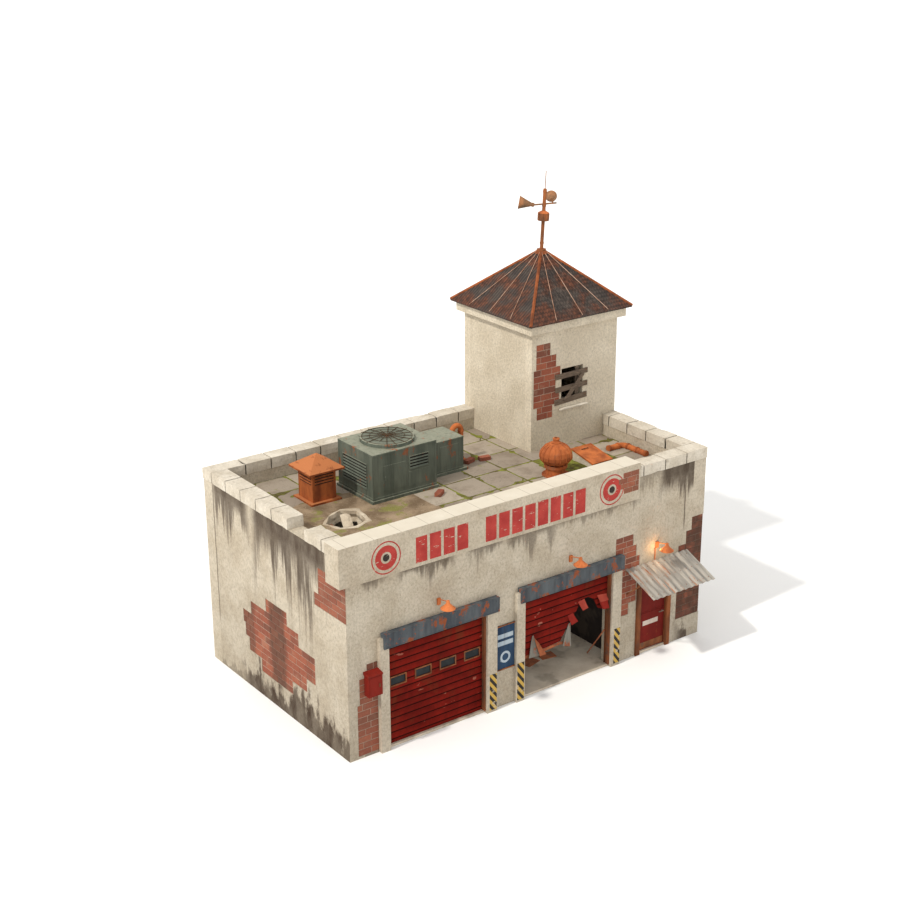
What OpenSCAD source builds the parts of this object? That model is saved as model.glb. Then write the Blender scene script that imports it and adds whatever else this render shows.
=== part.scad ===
// Derelict two-bay fire station with a hose tower.
// Site frame used by every module: x runs right along the front, y runs back
// from the front face, z runs up from the ground.  placed() then moves the
// middle of the footprint onto the origin.

/* [Building] */
// Length of the front
building_w = 15000; // [14800:50:15200]
// Depth from front to back
building_d = 8800; // [8700:50:9000]
// Thickness of the outer walls
wall_t = 560; // [540:10:580]
// Height of the roof deck
roof_z = 6360; // [6300:10:6400]
// Thickness of the roof slab
roof_t = 350; // [300:10:380]
// Height of the top of the parapet coping
parapet_z = 7190; // [7150:10:7250]
// Height of one coping block
coping_h = 400; // [380:10:420]
// Overhang of the coping past each wall face
coping_over = 30; // [20:5:40]
// Length of one coping block
coping_len = 1000; // [900:50:1100]
// Open joint between coping blocks
coping_gap = 28; // [12:2:40]
// Thickness of the floor slab
floor_h = 80; // [60:10:100]
// Depth that fallen render leaves behind over a brick patch
patch_depth = 30; // [20:5:40]

/* [Sign band] */
// Left end of the band, past the left wall face
band_left = 290; // [250:10:320]
// Right end of the band
band_right = 11750; // [11700:10:11800]
// Underside of the band
band_z = 6080; // [6060:10:6090]
// Top of the band
band_top = 7390; // [7350:10:7450]
// How far the band stands out of the wall face
band_out = 150; // [120:10:180]
// Depth of the band behind the wall face
band_back = 620; // [600:10:640]

/* [Bays] */
// Clear width of a bay doorway
bay_w = 3840; // [3800:10:3900]
// Clear height of a bay doorway
bay_h = 3640; // [3600:10:3700]
// Left edge of the left bay
bay_left_x = 1450; // [1430:10:1470]
// Left edge of the right bay
bay_right_x = 6850; // [6830:10:6870]
// Width of the pier on the left of a doorway
pier_w = 340; // [320:10:360]
// Width of the pier on the right of a doorway
far_pier_w = 400; // [380:10:420]
// How far a pier stands out of the wall face
pier_out = 150; // [130:10:160]
// Height of a pier
pier_h = 4000; // [3950:10:4050]
// Length of a lintel beam
lintel_len = 4500; // [4450:10:4550]
// Height of a lintel beam
lintel_h = 510; // [480:10:540]
// How far a lintel stands out of the wall face
lintel_out = 200; // [190:10:220]
// Thickness of a shutter slat
slat_t = 50; // [40:5:60]
// Setback of the shutters behind the wall face
shutter_y = 90; // [70:10:120]
// Height of a shutter slat
slat_pitch = 249; // [240:1:260]

/* [Entry] */
// Left edge of the entry opening in the wall
entry_x = 11920; // [11900:10:11940]
// Width of the entry opening in the wall
entry_w = 1620; // [1600:10:1640]
// Height of the entry opening in the wall
entry_h = 2820; // [2780:10:2860]
// Width of a door jamb
jamb_w = 200; // [180:10:210]
// Thickness of the door leaf
leaf_t = 60; // [50:5:65]
// Clearance round the door leaf
leaf_gap = 8; // [6:1:10]

/* [Awning] */
// Left edge of the awning
awning_x = 11350; // [11300:10:11400]
// Width of the awning
awning_w = 2900; // [2800:10:3000]
// How far the awning reaches out
awning_out = 1450; // [1350:10:1500]
// Height of the awning at the wall
awning_z = 3490; // [3460:10:3520]
// Fall of the awning from the wall to its front edge
awning_fall = 610; // [560:10:640]
// Number of corrugations across the awning
awning_waves = 11; // [9:1:13]

/* [Tower] */
// Side of the square hose tower
tower_w = 3960; // [3900:10:4000]
// Thickness of the tower walls
tower_t = 350; // [320:10:380]
// Height of the tower eaves
eave_z = 11235; // [11200:5:11300]
// Overhang of the tower roof
eave_over = 370; // [350:10:400]
// Height of the roof apex
apex_z = 13150; // [13100:10:13200]
// Thickness of the tower roof
tower_roof_t = 90; // [80:5:110]

/* [Roof fittings] */
// Radius of the turbine ventilator rotor
rotor_r = 580; // [560:10:600]
// Number of vanes on the turbine rotor
vane_count = 16; // [14:1:18]
// Width of the roof hatch lid
hatch_w = 920; // [880:10:960]
// Length of the roof hatch lid
hatch_l = 1220; // [1180:10:1260]
// Slope of the hatch lid in degrees
hatch_slope = 11; // [9:1:13]
// Lean of the siren mast in degrees
mast_lean = 3.4; // [0:0.2:4]

/* [Hidden] */
$fn = 48;
eps = 1;
wall_top = parapet_z - coping_h;
coping_w = wall_t + 2 * coping_over;
inner_x = building_w - wall_t;
inner_y = building_d - wall_t;
bays = [bay_left_x, bay_right_x];
lintel_shift = 210;
guide_w = 64;
slot_w = 42;
tower_x = building_w - tower_w;
tower_y = building_d - tower_w;
tower_mid = [tower_x + tower_w / 2, tower_y + tower_w / 2];
partition_x = 11200;
partition_t = 150;
lamps = [[3440, 4450], [8860, 4450], [12780, 3920]];
turbine_at = [10420, 2700];
neck_top = 6790;
hatch_at = [11780, 2300];
hatch_rise = 150;
lid_t = 50;
leaf_x = entry_x + jamb_w + leaf_gap;
leaf_w = entry_w - 2 * jamb_w - 2 * leaf_gap;
leaf_h = entry_h - jamb_w - leaf_gap - floor_h - leaf_gap;
leaf_y = 60;
frame_back = leaf_y + leaf_t;
window_x = 12410;
window_w = 1000;
window_z = 8060;
window_h = 1230;
mast_z = apex_z;
break_outline = [[1680, 3780], [2100, 4230], [2700, 4480], [3150, 4140], [3060, 3620],
    [2970, 3220], [2400, 3010], [1900, 3190]];

plaster = "#cfc5b2";
coping_stone = "#e6ddcd";
concrete = "#b5ab9b";
roofing = "#8c857a";
steel_blue = "#56656d";
rust = "#a8592c";
door_red = "#8c1f1a";
dark_metal = "#3d4448";
unit_green = "#5f7168";
timber = "#6e6154";

// Moves a piece from the site frame to the object frame.
module placed() {
    translate([-building_w / 2, -building_d / 2, 0]) children();
}

// A box given by its low corner and its high corner.
module block(low, high) {
    translate(low) cube(high - low);
}

// Shallow recess in a front-facing wall at depth y; outline is in x and z.
module front_recess(outline, y = 0, depth = patch_depth) {
    translate([0, y + depth, 0]) rotate([90, 0, 0]) linear_extrude(depth + eps) polygon(outline);
}

// Shallow recess in a left-facing wall at x; outline is in y and z.
module left_recess(outline, x = 0) {
    translate([x - eps, 0, 0]) rotate([90, 0, 90]) linear_extrude(patch_depth + eps) polygon(outline);
}

// Shallow recess in a right-facing wall at x; outline is in y and z.
module right_recess(outline, x) {
    translate([x - patch_depth, 0, 0]) rotate([90, 0, 90])
        linear_extrude(patch_depth + eps) polygon(outline);
}

// Shallow recess in a back-facing wall at y; outline is in x and z.
module back_recess(outline, y) {
    translate([0, y + eps, 0]) rotate([90, 0, 0])
        linear_extrude(patch_depth + eps) polygon(outline);
}

// A stepped brick patch: each course is [left, right], courses rise by step from z.
function stepped(courses, z, step) = concat(
    [for (i = [0 : len(courses) - 1], k = [0, 1]) [courses[i][0], z + (i + k) * step]],
    [for (i = [len(courses) - 1 : -1 : 0], k = [1, 0]) [courses[i][1], z + (i + k) * step]]);

// Low patch beside the left bay.
front_low_patch = stepped([[330, 1110], [330, 1110], [330, 1110], [330, 1110], [420, 1110],
    [420, 1110], [700, 1110]], floor_h, 450);
// Patch between the right bay and the entry.
entry_patch = stepped([[11180, 11560], [11180, 11900], [11180, 11900], [11180, 12010],
    [11180, 12010], [10890, 11850], [10890, 11690]], 1730, 430);
// Patch at the right front corner.
corner_patch = stepped([[13850, 15010], [13850, 15010], [13850, 15010], [13850, 15010],
    [13850, 15010], [13850, 15010], [14200, 15010], [14450, 15010]], 830, 480);
// Large patch on the left wall, in y and z.
left_patch = stepped([[3370, 5390], [2470, 6170], [1920, 6390], [1920, 6500], [2890, 5950],
    [3590, 4940]], 900, 480);
// Upper patch at the left front corner, in y and z.
left_upper_patch = stepped([[-10, 1820], [-10, 1560], [-10, 1560]], 4780, 450);
// Patch low on the right wall, in y and z.
right_patch = stepped([[-10, 900], [-10, 1350], [-10, 900]], 2270, 480);
// Patch on the back wall, in x and z.
back_patch = stepped([[3200, 5600], [2600, 6300], [2200, 6300], [2700, 5500]], 1300, 480);
// Patch on the front of the tower.
tower_patch = stepped([[11290, 12020], [11130, 12330], [11130, 12150], [11130, 12360],
    [11240, 12160], [11240, 11880]], 7550, 470);

module floor_slab() {
    color(concrete) placed() {
        block([wall_t, wall_t, 0], [inner_x, inner_y, floor_h]);
        for (x = bays) block([x, 0, 0], [x + bay_w, wall_t + eps, floor_h]);
        block([entry_x + jamb_w, 0, 0], [entry_x + entry_w - jamb_w, frame_back + eps, floor_h]);
        block([entry_x, frame_back, 0], [entry_x + entry_w, wall_t + eps, floor_h]);
    }
}

// Rebate behind both jambs of a bay, where the shutter mechanism ran.
module bay_rebate(x) {
    rebate_w = 320;
    rebate_y = 370;
    block([x - rebate_w, rebate_y, floor_h], [x + bay_w + rebate_w, wall_t + eps, bay_h + eps]);
}

module front_wall_left() {
    color(plaster) placed() difference() {
        block([wall_t, 0, 0], [bay_left_x, wall_t, bay_h]);
        front_recess(front_low_patch);
        bay_rebate(bay_left_x);
    }
}

module front_wall_middle() {
    color(plaster) placed() difference() {
        block([bay_left_x + bay_w, 0, 0], [bay_right_x, wall_t, bay_h]);
        for (x = bays) bay_rebate(x);
    }
}

module front_wall_entry_side() {
    color(plaster) placed() difference() {
        block([bay_right_x + bay_w, 0, 0], [entry_x, wall_t, bay_h]);
        front_recess(entry_patch);
        bay_rebate(bay_right_x);
    }
}

module front_wall_right() {
    color(plaster) placed() difference() {
        block([entry_x + entry_w, 0, 0], [inner_x, wall_t, bay_h]);
        front_recess(corner_patch);
    }
}

module front_wall_over_entry() {
    color(plaster) placed() difference() {
        block([entry_x, 0, entry_h], [entry_x + entry_w, wall_t, bay_h]);
        front_recess(entry_patch);
    }
}

module front_wall_upper() {
    color(plaster) placed() difference() {
        union() {
            block([wall_t, 0, bay_h], [inner_x, wall_t, band_z]);
            block([band_right, 0, band_z - eps], [inner_x, wall_t, wall_top]);
        }
        front_recess(entry_patch);
        front_recess(corner_patch);
    }
}

module left_wall() {
    color(plaster) placed() difference() {
        union() {
            block([0, 0, 0], [wall_t, inner_y, band_z]);
            block([0, band_back, band_z - eps], [wall_t, inner_y, wall_top]);
        }
        left_recess(left_patch);
        left_recess(left_upper_patch);
        front_recess(front_low_patch);
    }
}

module right_wall() {
    color(plaster) placed() difference() {
        union() {
            block([inner_x, 0, 0], [building_w, inner_y, roof_z]);
            block([inner_x, 0, roof_z - eps], [building_w, tower_y, wall_top]);
        }
        front_recess(corner_patch);
        right_recess(right_patch, building_w);
    }
}

module back_wall() {
    color(plaster) placed() difference() {
        union() {
            block([0, inner_y, 0], [building_w, building_d, roof_z]);
            block([0, inner_y, roof_z - eps], [tower_x, building_d, wall_top]);
        }
        back_recess(back_patch, building_d);
    }
}

module bay_partition() {
    color(concrete) placed()
        block([partition_x, wall_t, floor_h], [partition_x + partition_t, inner_y, roof_z - roof_t]);
}

module roof_slab() {
    color(roofing) placed() difference() {
        block([wall_t, wall_t, roof_z - roof_t], [inner_x, inner_y, roof_z]);
        block([wall_t - eps, wall_t - eps, band_z - eps], [band_right, band_back, roof_z + eps]);
        translate([0, 0, roof_z - roof_t - eps]) linear_extrude(roof_t + 2 * eps) polygon(break_outline);
        block(concat(hatch_at + [160, 160], [roof_z - roof_t - eps]),
            concat(hatch_at + [hatch_w - 160, hatch_l - 220], [roof_z + eps]));
    }
}

// A row of coping blocks along x or y with open joints; the first block has its own length.
module coping_row(from, to, first, across, along_x, missing = -1) {
    for (i = [0 : ceil((to - from - first) / coping_len)]) {
        if (i != missing) {
            low = i == 0 ? from : from + first + (i - 1) * coping_len + coping_gap / 2;
            high = min(to, from + first + i * coping_len - coping_gap / 2);
            if (along_x) block([low, across, wall_top], [high, across + coping_w, parapet_z]);
            else block([across, low, wall_top], [across + coping_w, high, parapet_z]);
        }
    }
}

module coping_left() {
    color(coping_stone) placed()
        coping_row(band_back + coping_gap, inner_y - coping_over - coping_gap, 590, -coping_over, false, 2);
}

module coping_back() {
    color(coping_stone) placed() coping_row(-coping_over, tower_x, 1340, inner_y - coping_over, true);
}

module coping_right() {
    color(coping_stone) placed()
        coping_row(wall_t + coping_over + coping_gap, tower_y, 870, inner_x - coping_over, false);
}

module coping_front() {
    color(coping_stone) placed()
        coping_row(band_right, building_w + coping_over, 280, -coping_over, true);
}

module sign_band() {
    color(plaster) placed() block([-band_left, -band_out, band_z], [band_right, band_back, band_top]);
}

module lintel_beam(x) {
    block([x - lintel_shift, -lintel_out, bay_h], [x - lintel_shift + lintel_len, 0, bay_h + lintel_h]);
}

module door_piers() {
    color(plaster) placed() difference() {
        for (x = bays) {
            block([x - pier_w, -pier_out, 0], [x, 0, pier_h]);
            block([x + bay_w, -pier_out, 0], [x + bay_w + far_pier_w, 0, pier_h]);
        }
        for (x = bays) lintel_beam(x);
    }
}

module door_lintels() {
    color(steel_blue) placed() for (x = bays) lintel_beam(x);
}

// One U-shaped shutter guide; its slot faces the doorway.
module guide_channel(x, slot_x) {
    guide_out = 60;
    lip = 30;
    play = 6;
    difference() {
        block([x, -guide_out, floor_h], [x + guide_w, shutter_y + slat_t + lip, bay_h]);
        block([slot_x, shutter_y - play, floor_h - eps],
            [slot_x + slot_w, shutter_y + slat_t + play, bay_h + eps]);
    }
}

module shutter_guides() {
    color(rust) placed() for (x = bays) {
        guide_channel(x, x + guide_w - slot_w + eps);
        guide_channel(x + bay_w - guide_w, x + bay_w - guide_w - eps);
    }
}

// Slat curtain with a groove at each slat joint.
module slat_curtain(x, bottom) {
    margin = 36;
    first_groove = 198;
    groove_h = 34;
    groove_depth = 14;
    difference() {
        block([x + margin, shutter_y, bottom], [x + bay_w - margin, shutter_y + slat_t, bay_h - 10]);
        for (z = [first_groove : slat_pitch : bay_h - groove_h])
            block([x, shutter_y - eps, z], [x + bay_w, shutter_y + groove_depth, z + groove_h]);
    }
}

window_xs = [190, 1160, 2130, 3100];
pane_w = 560;
pane_z = 2130;
pane_h = 270;
pane_back = 15;
pane_t = 20;

module shutter_left() {
    color(door_red) placed() difference() {
        slat_curtain(bay_left_x, floor_h + 4);
        for (x = window_xs)
            block([bay_left_x + x, shutter_y - eps, pane_z],
                [bay_left_x + x + pane_w, shutter_y + slat_t + eps, pane_z + pane_h]);
    }
}

module shutter_windows() {
    color(dark_metal) placed() for (x = window_xs)
        block([bay_left_x + x, shutter_y + pane_back, pane_z],
            [bay_left_x + x + pane_w, shutter_y + pane_back + pane_t, pane_z + pane_h]);
}

module shutter_right() {
    torn_edge = [[-100, -100], [3900, -100], [3900, 2110], [3380, 2340], [3200, 2720], [2920, 2880],
        [2600, 2860], [2420, 2520], [2140, 2240], [1920, 1880], [1720, 1580], [1360, 1540],
        [880, 1510], [420, 1490], [-100, 1460]];
    color(door_red) placed() difference() {
        slat_curtain(bay_right_x, 1433);
        translate([bay_right_x, shutter_y + slat_t + eps, 0]) rotate([90, 0, 0])
            linear_extrude(slat_t + 2 * eps) polygon(torn_edge);
    }
}

// Round bar between two points.
module bar(from, to, r) {
    along = to - from;
    length = norm(along);
    translate(from) rotate([0, acos(along[2] / length), atan2(along[1], along[0])])
        cylinder(h = length, r = r);
}

// Fallen sheets on the floor and a bar leaning on the guide of the right bay.
module shutter_debris() {
    plate_t = 14;
    bar_r = 24;
    bar_foot = [bay_right_x + 3750, 1000, floor_h + bar_r];
    bar_top = [bay_right_x + 3731, 120, 1380];
    color(rust) placed() {
        translate([bay_right_x + 1470, 1420, floor_h]) rotate([0, 0, 14]) cube([620, 480, plate_t]);
        translate([bay_right_x + 2180, 1560, floor_h]) rotate([0, 0, -9]) cube([580, 430, plate_t]);
        bar(bar_foot, bar_top, bar_r);
    }
}

module entry_frame() {
    front_y = -60;
    color(rust) placed() {
        block([entry_x, front_y, 0], [entry_x + jamb_w, frame_back, entry_h]);
        block([entry_x + entry_w - jamb_w, front_y, 0], [entry_x + entry_w, frame_back, entry_h]);
        block([entry_x + jamb_w - eps, front_y, entry_h - jamb_w],
            [entry_x + entry_w - jamb_w + eps, frame_back, entry_h]);
    }
}

module entry_door() {
    leaf_z = floor_h + leaf_gap;
    groove = 14;
    color(door_red) placed() difference() {
        block([leaf_x, leaf_y, leaf_z], [leaf_x + leaf_w, leaf_y + leaf_t, leaf_z + leaf_h]);
        block([leaf_x - eps, leaf_y - eps, leaf_z + 1400],
            [leaf_x + leaf_w + eps, leaf_y + groove, leaf_z + 1420]);
    }
}

module entry_handle() {
    handle_x = leaf_x + leaf_w - 110;
    handle_z = 1390;
    color(dark_metal) placed() {
        translate([handle_x, leaf_y, handle_z]) rotate([90, 0, 0]) cylinder(h = 60, r = 16);
        block([handle_x - 190, leaf_y - 84, handle_z - 14], [handle_x + 20, leaf_y - 56, handle_z + 14]);
    }
}

// Corrugated sheet outline across the awning: a raised sine on top, the same below.
function wave(x) = 22 * sin(360 * awning_waves * x / awning_w);

module awning_sheet() {
    samples = awning_waves * 8;
    sheet_t = 14;
    wall_gap = 12;
    slope = atan(awning_fall / awning_out);
    run = sqrt(awning_fall * awning_fall + awning_out * awning_out);
    step = awning_w / samples;
    top = [for (i = [0 : samples]) [i * step, wave(i * step) + sheet_t]];
    under = [for (i = [samples : -1 : 0]) [i * step, wave(i * step)]];
    color("#8e8a83") placed() translate([awning_x, -wall_gap, awning_z]) rotate([slope, 0, 0])
        rotate([90, 0, 0]) linear_extrude(run) polygon(concat(top, under));
}

module awning_frame() {
    slope = atan(awning_fall / awning_out);
    rail = 50;
    rail_z = awning_z - 80 - rail;
    rail_len = 1350;
    margin = 60;
    brace_z = awning_z - 1000;
    brace_len = 890;
    brace_tilt = -41;
    color(rust) placed() difference() {
        union() {
            block([awning_x + margin, -rail, rail_z], [awning_x + awning_w - margin, 0, rail_z + rail]);
            for (x = [awning_x + margin + rail, awning_x + awning_w - margin - 2 * rail]) {
                translate([x, -rail, rail_z]) rotate([slope, 0, 0])
                    translate([0, -rail_len, 0]) cube([rail, rail_len + rail / 3, rail]);
                translate([x, 0, brace_z]) rotate([brace_tilt, 0, 0])
                    translate([0, -brace_len, 0]) cube([rail, brace_len, rail * 0.8]);
            }
        }
        block([awning_x, 0, 0], [awning_x + awning_w, wall_t, awning_z]);
    }
}

module lamp(x, z) {
    reach = 520;
    rim_z = 95;
    bracket = 60;
    translate([x, 0, z]) {
        block([-bracket, -bracket, 35], [bracket, 0, 260]);
        bar([0, -bracket + 10, 230], [0, -reach + 20, rim_z + 235], 16);
        translate([0, -reach, rim_z]) rotate_extrude() polygon([[226, 0], [234, 0], [72, 160],
            [50, 245], [0, 255], [0, 237], [42, 229], [60, 154]]);
    }
}

module wall_lamps() {
    color(rust) placed() for (at = lamps) lamp(at[0], at[1]);
}

module wall_cabinet() {
    color(door_red) placed() {
        block([600, -260, 2190], [1110, 0, 2900]);
        difference() {
            block([570, -300, 2900 - eps], [1110, 0, 3010]);
            translate([500, -301, 2950]) rotate([11.5, 0, 0]) cube([700, 400, 200]);
        }
    }
}

module wall_banner() {
    color("#24415e") placed() {
        block([5740, -20, 1390], [6500, 0, 2950]);
        for (z = [1350, 2950]) block([5710, -40, z], [6510, 0, z + 40]);
    }
}

module tower_front_wall() {
    color(plaster) placed() difference() {
        block([tower_x, tower_y, roof_z], [building_w, tower_y + tower_t, eave_z - 60]);
        block([window_x, tower_y - eps, window_z],
            [window_x + window_w, tower_y + tower_t + eps, window_z + window_h]);
        front_recess(tower_patch, tower_y);
    }
}

module tower_left_wall() {
    color(plaster) placed()
        block([tower_x, tower_y + tower_t, roof_z], [tower_x + tower_t, building_d - tower_t, eave_z - 60]);
}

module tower_right_wall() {
    color(plaster) placed()
        block([building_w - tower_t, tower_y + tower_t, roof_z],
            [building_w, building_d - tower_t, eave_z - 60]);
}

module tower_back_wall() {
    color(plaster) placed()
        block([tower_x, building_d - tower_t, roof_z], [building_w, building_d, eave_z - 60]);
}

module tower_cornice() {
    out = 220;
    low = eave_z - 400;
    color(plaster) placed() difference() {
        block([tower_x - out, tower_y - out, low], [building_w + out, building_d + out, eave_z - 60]);
        block([tower_x, tower_y, low - eps], [building_w, building_d, eave_z]);
    }
}

// Four-sided pyramid over the tower, from half-width at its base to its tip.
module pyramid(half, tip_half, low, high) {
    translate([tower_mid[0], tower_mid[1], low]) rotate([0, 0, 45])
        cylinder(h = high - low, r1 = half * sqrt(2), r2 = tip_half * sqrt(2), $fn = 4);
}

module tower_roof() {
    half = tower_w / 2 + eave_over;
    tip = 60;
    color("#4a4340") placed() difference() {
        union() {
            translate([tower_mid[0] - half, tower_mid[1] - half, eave_z - 60])
                cube([2 * half, 2 * half, 60]);
            pyramid(half, tip, eave_z, mast_z);
        }
        translate([0, 0, -tower_roof_t]) pyramid(half - tower_t, tip / 2, eave_z - 60, mast_z - 120);
        pyramid(tower_w / 2 - tower_t, tower_w / 2 - tower_t, eave_z - 60 - eps, eave_z + 20);
    }
}

module board(x, z, length, width, tilt, y_off) {
    board_t = 32;
    translate([x, tower_y - y_off, z]) rotate([0, -tilt, 0])
        translate([0, -board_t, -width / 2]) cube([length, board_t, width]);
}

module window_boards() {
    color(timber) placed() {
        board(12120, 9020, 1500, 190, 1, 2);
        board(12130, 8530, 1490, 190, 1.5, 2);
        board(12100, 8060, 1500, 210, 3, 2);
        board(12560, 8060, 1240, 150, 48, 36);
        block([window_x + 700, tower_y + 60, window_z],
            [window_x + 860, tower_y + 100, window_z + window_h]);
    }
}

module window_sill() {
    color(coping_stone) placed()
        block([window_x - 140, tower_y - 130, window_z - 300],
            [window_x + window_w + 190, tower_y, window_z - 230]);
}

module on_mast() {
    translate([tower_mid[0], tower_mid[1], mast_z]) rotate([0, mast_lean, 0]) children();
}

module siren_mast() {
    drum_z = 1110;
    drum_h = 250;
    tube_h = 2230;
    color(rust) placed() {
        translate([tower_mid[0], tower_mid[1], mast_z]) cylinder(h = 60, r = 170);
        on_mast() {
            translate([0, 0, 20]) cylinder(h = tube_h - 20, r = 64);
            translate([0, 0, drum_z]) cylinder(h = drum_h, r = 200, $fn = 8);
            translate([0, 0, tube_h - eps]) cylinder(h = 640, r = 14);
        }
    }
}

// Open horn along local +x, throat at the origin.
module horn(mouth) {
    rotate([0, 90, 0]) rotate_extrude() polygon([[0, 0], [60, 0], [72, 90], [mouth, 520],
        [mouth - 13, 522], [58, 96], [0, 90]]);
}

module siren_horns() {
    bar_z = 1685;
    bar_half = 560;
    bar_side = 50;
    right_x = 380;
    right_z = bar_z + 110;
    color(rust) placed() on_mast() {
        difference() {
            translate([-bar_half, -bar_side / 2, bar_z - bar_side / 2])
                cube([2 * bar_half, bar_side, bar_side]);
            translate([0, 0, bar_z - bar_side]) cylinder(h = 2 * bar_side, r = 64);
        }
        translate([-490, 0, bar_z]) rotate([0, -7, 140]) horn(235);
        translate([right_x, 20, right_z]) rotate([0, -6, 55]) horn(205);
        translate([right_x + 20, 15, bar_z]) cylinder(h = right_z - bar_z, r = 22);
    }
}

unit_large = [3870, 4250, 2580, 2110];
unit_small = [6900, 4970, 1220, 1230];
skid_h = 120;

module cooling_unit_large() {
    top = 8090;
    fan_r = 900;
    color(unit_green) placed() {
        translate([unit_large[0] - 60, unit_large[1] - 60, roof_z])
            cube([unit_large[2] + 120, unit_large[3] + 120, skid_h]);
        translate([unit_large[0], unit_large[1], roof_z + skid_h - eps])
            cube([unit_large[2], unit_large[3], top - roof_z - skid_h]);
        translate([unit_large[0] + unit_large[2] / 2, unit_large[1] + unit_large[3] / 2, top - 2 * eps])
            cylinder(h = 110, r = fan_r);
    }
}

module cooling_unit_small() {
    color(unit_green) placed() {
        translate([unit_small[0] - 60, unit_small[1] - 60, roof_z])
            cube([unit_small[2] + 230, unit_small[3] + 120, skid_h]);
        translate([unit_small[0], unit_small[1], roof_z + skid_h - eps])
            cube([unit_small[2], unit_small[3], 7650 - roof_z - skid_h]);
    }
}

module roof_vent() {
    mid = [2690, 5850];
    color(rust) placed() translate([mid[0], mid[1], roof_z]) {
        translate([-590, -590, 0]) cube([1180, 1180, 80]);
        translate([-450, -450, 80 - eps]) cube([900, 900, 1040]);
        translate([-680, -680, 1120 - 2 * eps]) cube([1360, 1360, 60]);
        translate([0, 0, 1180 - 3 * eps]) rotate([0, 0, 45])
            cylinder(h = 440, r1 = 680 * sqrt(2), r2 = 30, $fn = 4);
    }
}

module turbine_base() {
    color(rust) placed() translate([turbine_at[0], turbine_at[1], roof_z]) {
        cylinder(h = 60, r = 480);
        cylinder(h = neck_top - roof_z - 110, r = 350);
        translate([0, 0, neck_top - roof_z - 110 - eps]) cylinder(h = 110, r = 410);
    }
}

// Onion-shaped rotor: vanes overlap round the drum and close under a knob.
module turbine_rotor() {
    low = neck_top + 6;
    body = [[0, 0], [300, 0], [430, 70], [rotor_r * 0.93, 200], [rotor_r * 0.97, 330],
        [rotor_r * 0.9, 480], [rotor_r * 0.72, 620], [rotor_r * 0.4, 730], [110, 770], [110, 900],
        [70, 940], [0, 940]];
    color(rust) placed() translate([turbine_at[0], turbine_at[1], low]) {
        rotate_extrude() polygon(body);
        for (i = [0 : vane_count - 1]) rotate([0, 0, i * 360 / vane_count])
            translate([0, 12, 0]) rotate([90, 0, 0]) linear_extrude(24)
                polygon([[280, 20], [440, 40], [rotor_r, 210], [rotor_r, 340], [rotor_r * 0.93, 490],
                    [rotor_r * 0.72, 640], [250, 740]]);
    }
}

module hatch_frame() {
    translate([hatch_at[0], hatch_at[1], roof_z]) children();
}

module hatch_kerb() {
    run = hatch_l * cos(hatch_slope);
    color(coping_stone) placed() hatch_frame() difference() {
        translate([40, 0, 0]) rotate([90, 0, 90]) linear_extrude(hatch_w - 80)
            polygon([[60, 0], [run - 40, 0], [run - 40, hatch_rise + (run - 40) * tan(hatch_slope)],
                [60, hatch_rise + 60 * tan(hatch_slope)]]);
        translate([160, 160, -eps]) cube([hatch_w - 320, hatch_l - 380, 1000]);
    }
}

module hatch_lid() {
    color(rust) placed() hatch_frame() translate([0, 0, hatch_rise]) rotate([hatch_slope, 0, 0])
        translate([0, 0, 6]) cube([hatch_w, hatch_l, lid_t]);
}

// Swept bend in the local xy plane, from the +x axis towards +y.
module elbow(bend_r, pipe_r, sweep) {
    rotate_extrude(angle = sweep) translate([bend_r, 0]) circle(r = pipe_r);
}

// Corner pipe lying on the roof and a gooseneck beside the small cooling unit.
module roof_pipes() {
    run_r = 105;
    run_bend = 200;
    corner = [14140, 3350];
    goose_r = 95;
    goose_bend = 190;
    goose = [8660, 5850];
    goose_h = 1150;
    color(rust) placed() {
        translate([13400, corner[1], roof_z + run_r]) rotate([0, 90, 0])
            cylinder(h = corner[0] - run_bend - 13400, r = run_r);
        translate([corner[0] - run_bend, corner[1] - run_bend, roof_z + run_r])
            elbow(run_bend, run_r, 90);
        translate([corner[0], 2100, roof_z + run_r]) rotate([-90, 0, 0])
            cylinder(h = corner[1] - run_bend - 2100, r = run_r);
        translate([goose[0], goose[1], roof_z]) {
            cylinder(h = 40, r = 190);
            cylinder(h = goose_h, r = goose_r);
            translate([-goose_bend, 0, goose_h]) rotate([90, 0, 0]) elbow(goose_bend, goose_r, 180);
            translate([-2 * goose_bend, 0, goose_h - 160]) cylinder(h = 160, r = goose_r);
        }
    }
}

module loose_bricks() {
    brick = [420, 210, 160];
    color("#a24f3c") placed() for (at = [[8560, 5260, 20], [9080, 5260, -12], [5980, 3380, 35]])
        translate([at[0], at[1], roof_z]) rotate([0, 0, at[2]]) cube(brick);
}

floor_slab();
front_wall_left();
front_wall_middle();
front_wall_entry_side();
front_wall_right();
front_wall_over_entry();
front_wall_upper();
left_wall();
right_wall();
back_wall();
bay_partition();
roof_slab();
coping_left();
coping_back();
coping_right();
coping_front();
sign_band();
door_piers();
door_lintels();
shutter_guides();
shutter_left();
shutter_windows();
shutter_right();
shutter_debris();
entry_frame();
entry_door();
entry_handle();
awning_sheet();
awning_frame();
wall_lamps();
wall_cabinet();
wall_banner();
tower_front_wall();
tower_left_wall();
tower_right_wall();
tower_back_wall();
tower_cornice();
tower_roof();
window_boards();
window_sill();
siren_mast();
siren_horns();
cooling_unit_large();
cooling_unit_small();
roof_vent();
turbine_base();
turbine_rotor();
hatch_kerb();
hatch_lid();
roof_pipes();
loose_bricks();
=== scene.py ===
import math
import random

import bmesh
import bpy
from mathutils import Matrix, Vector, noise


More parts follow.
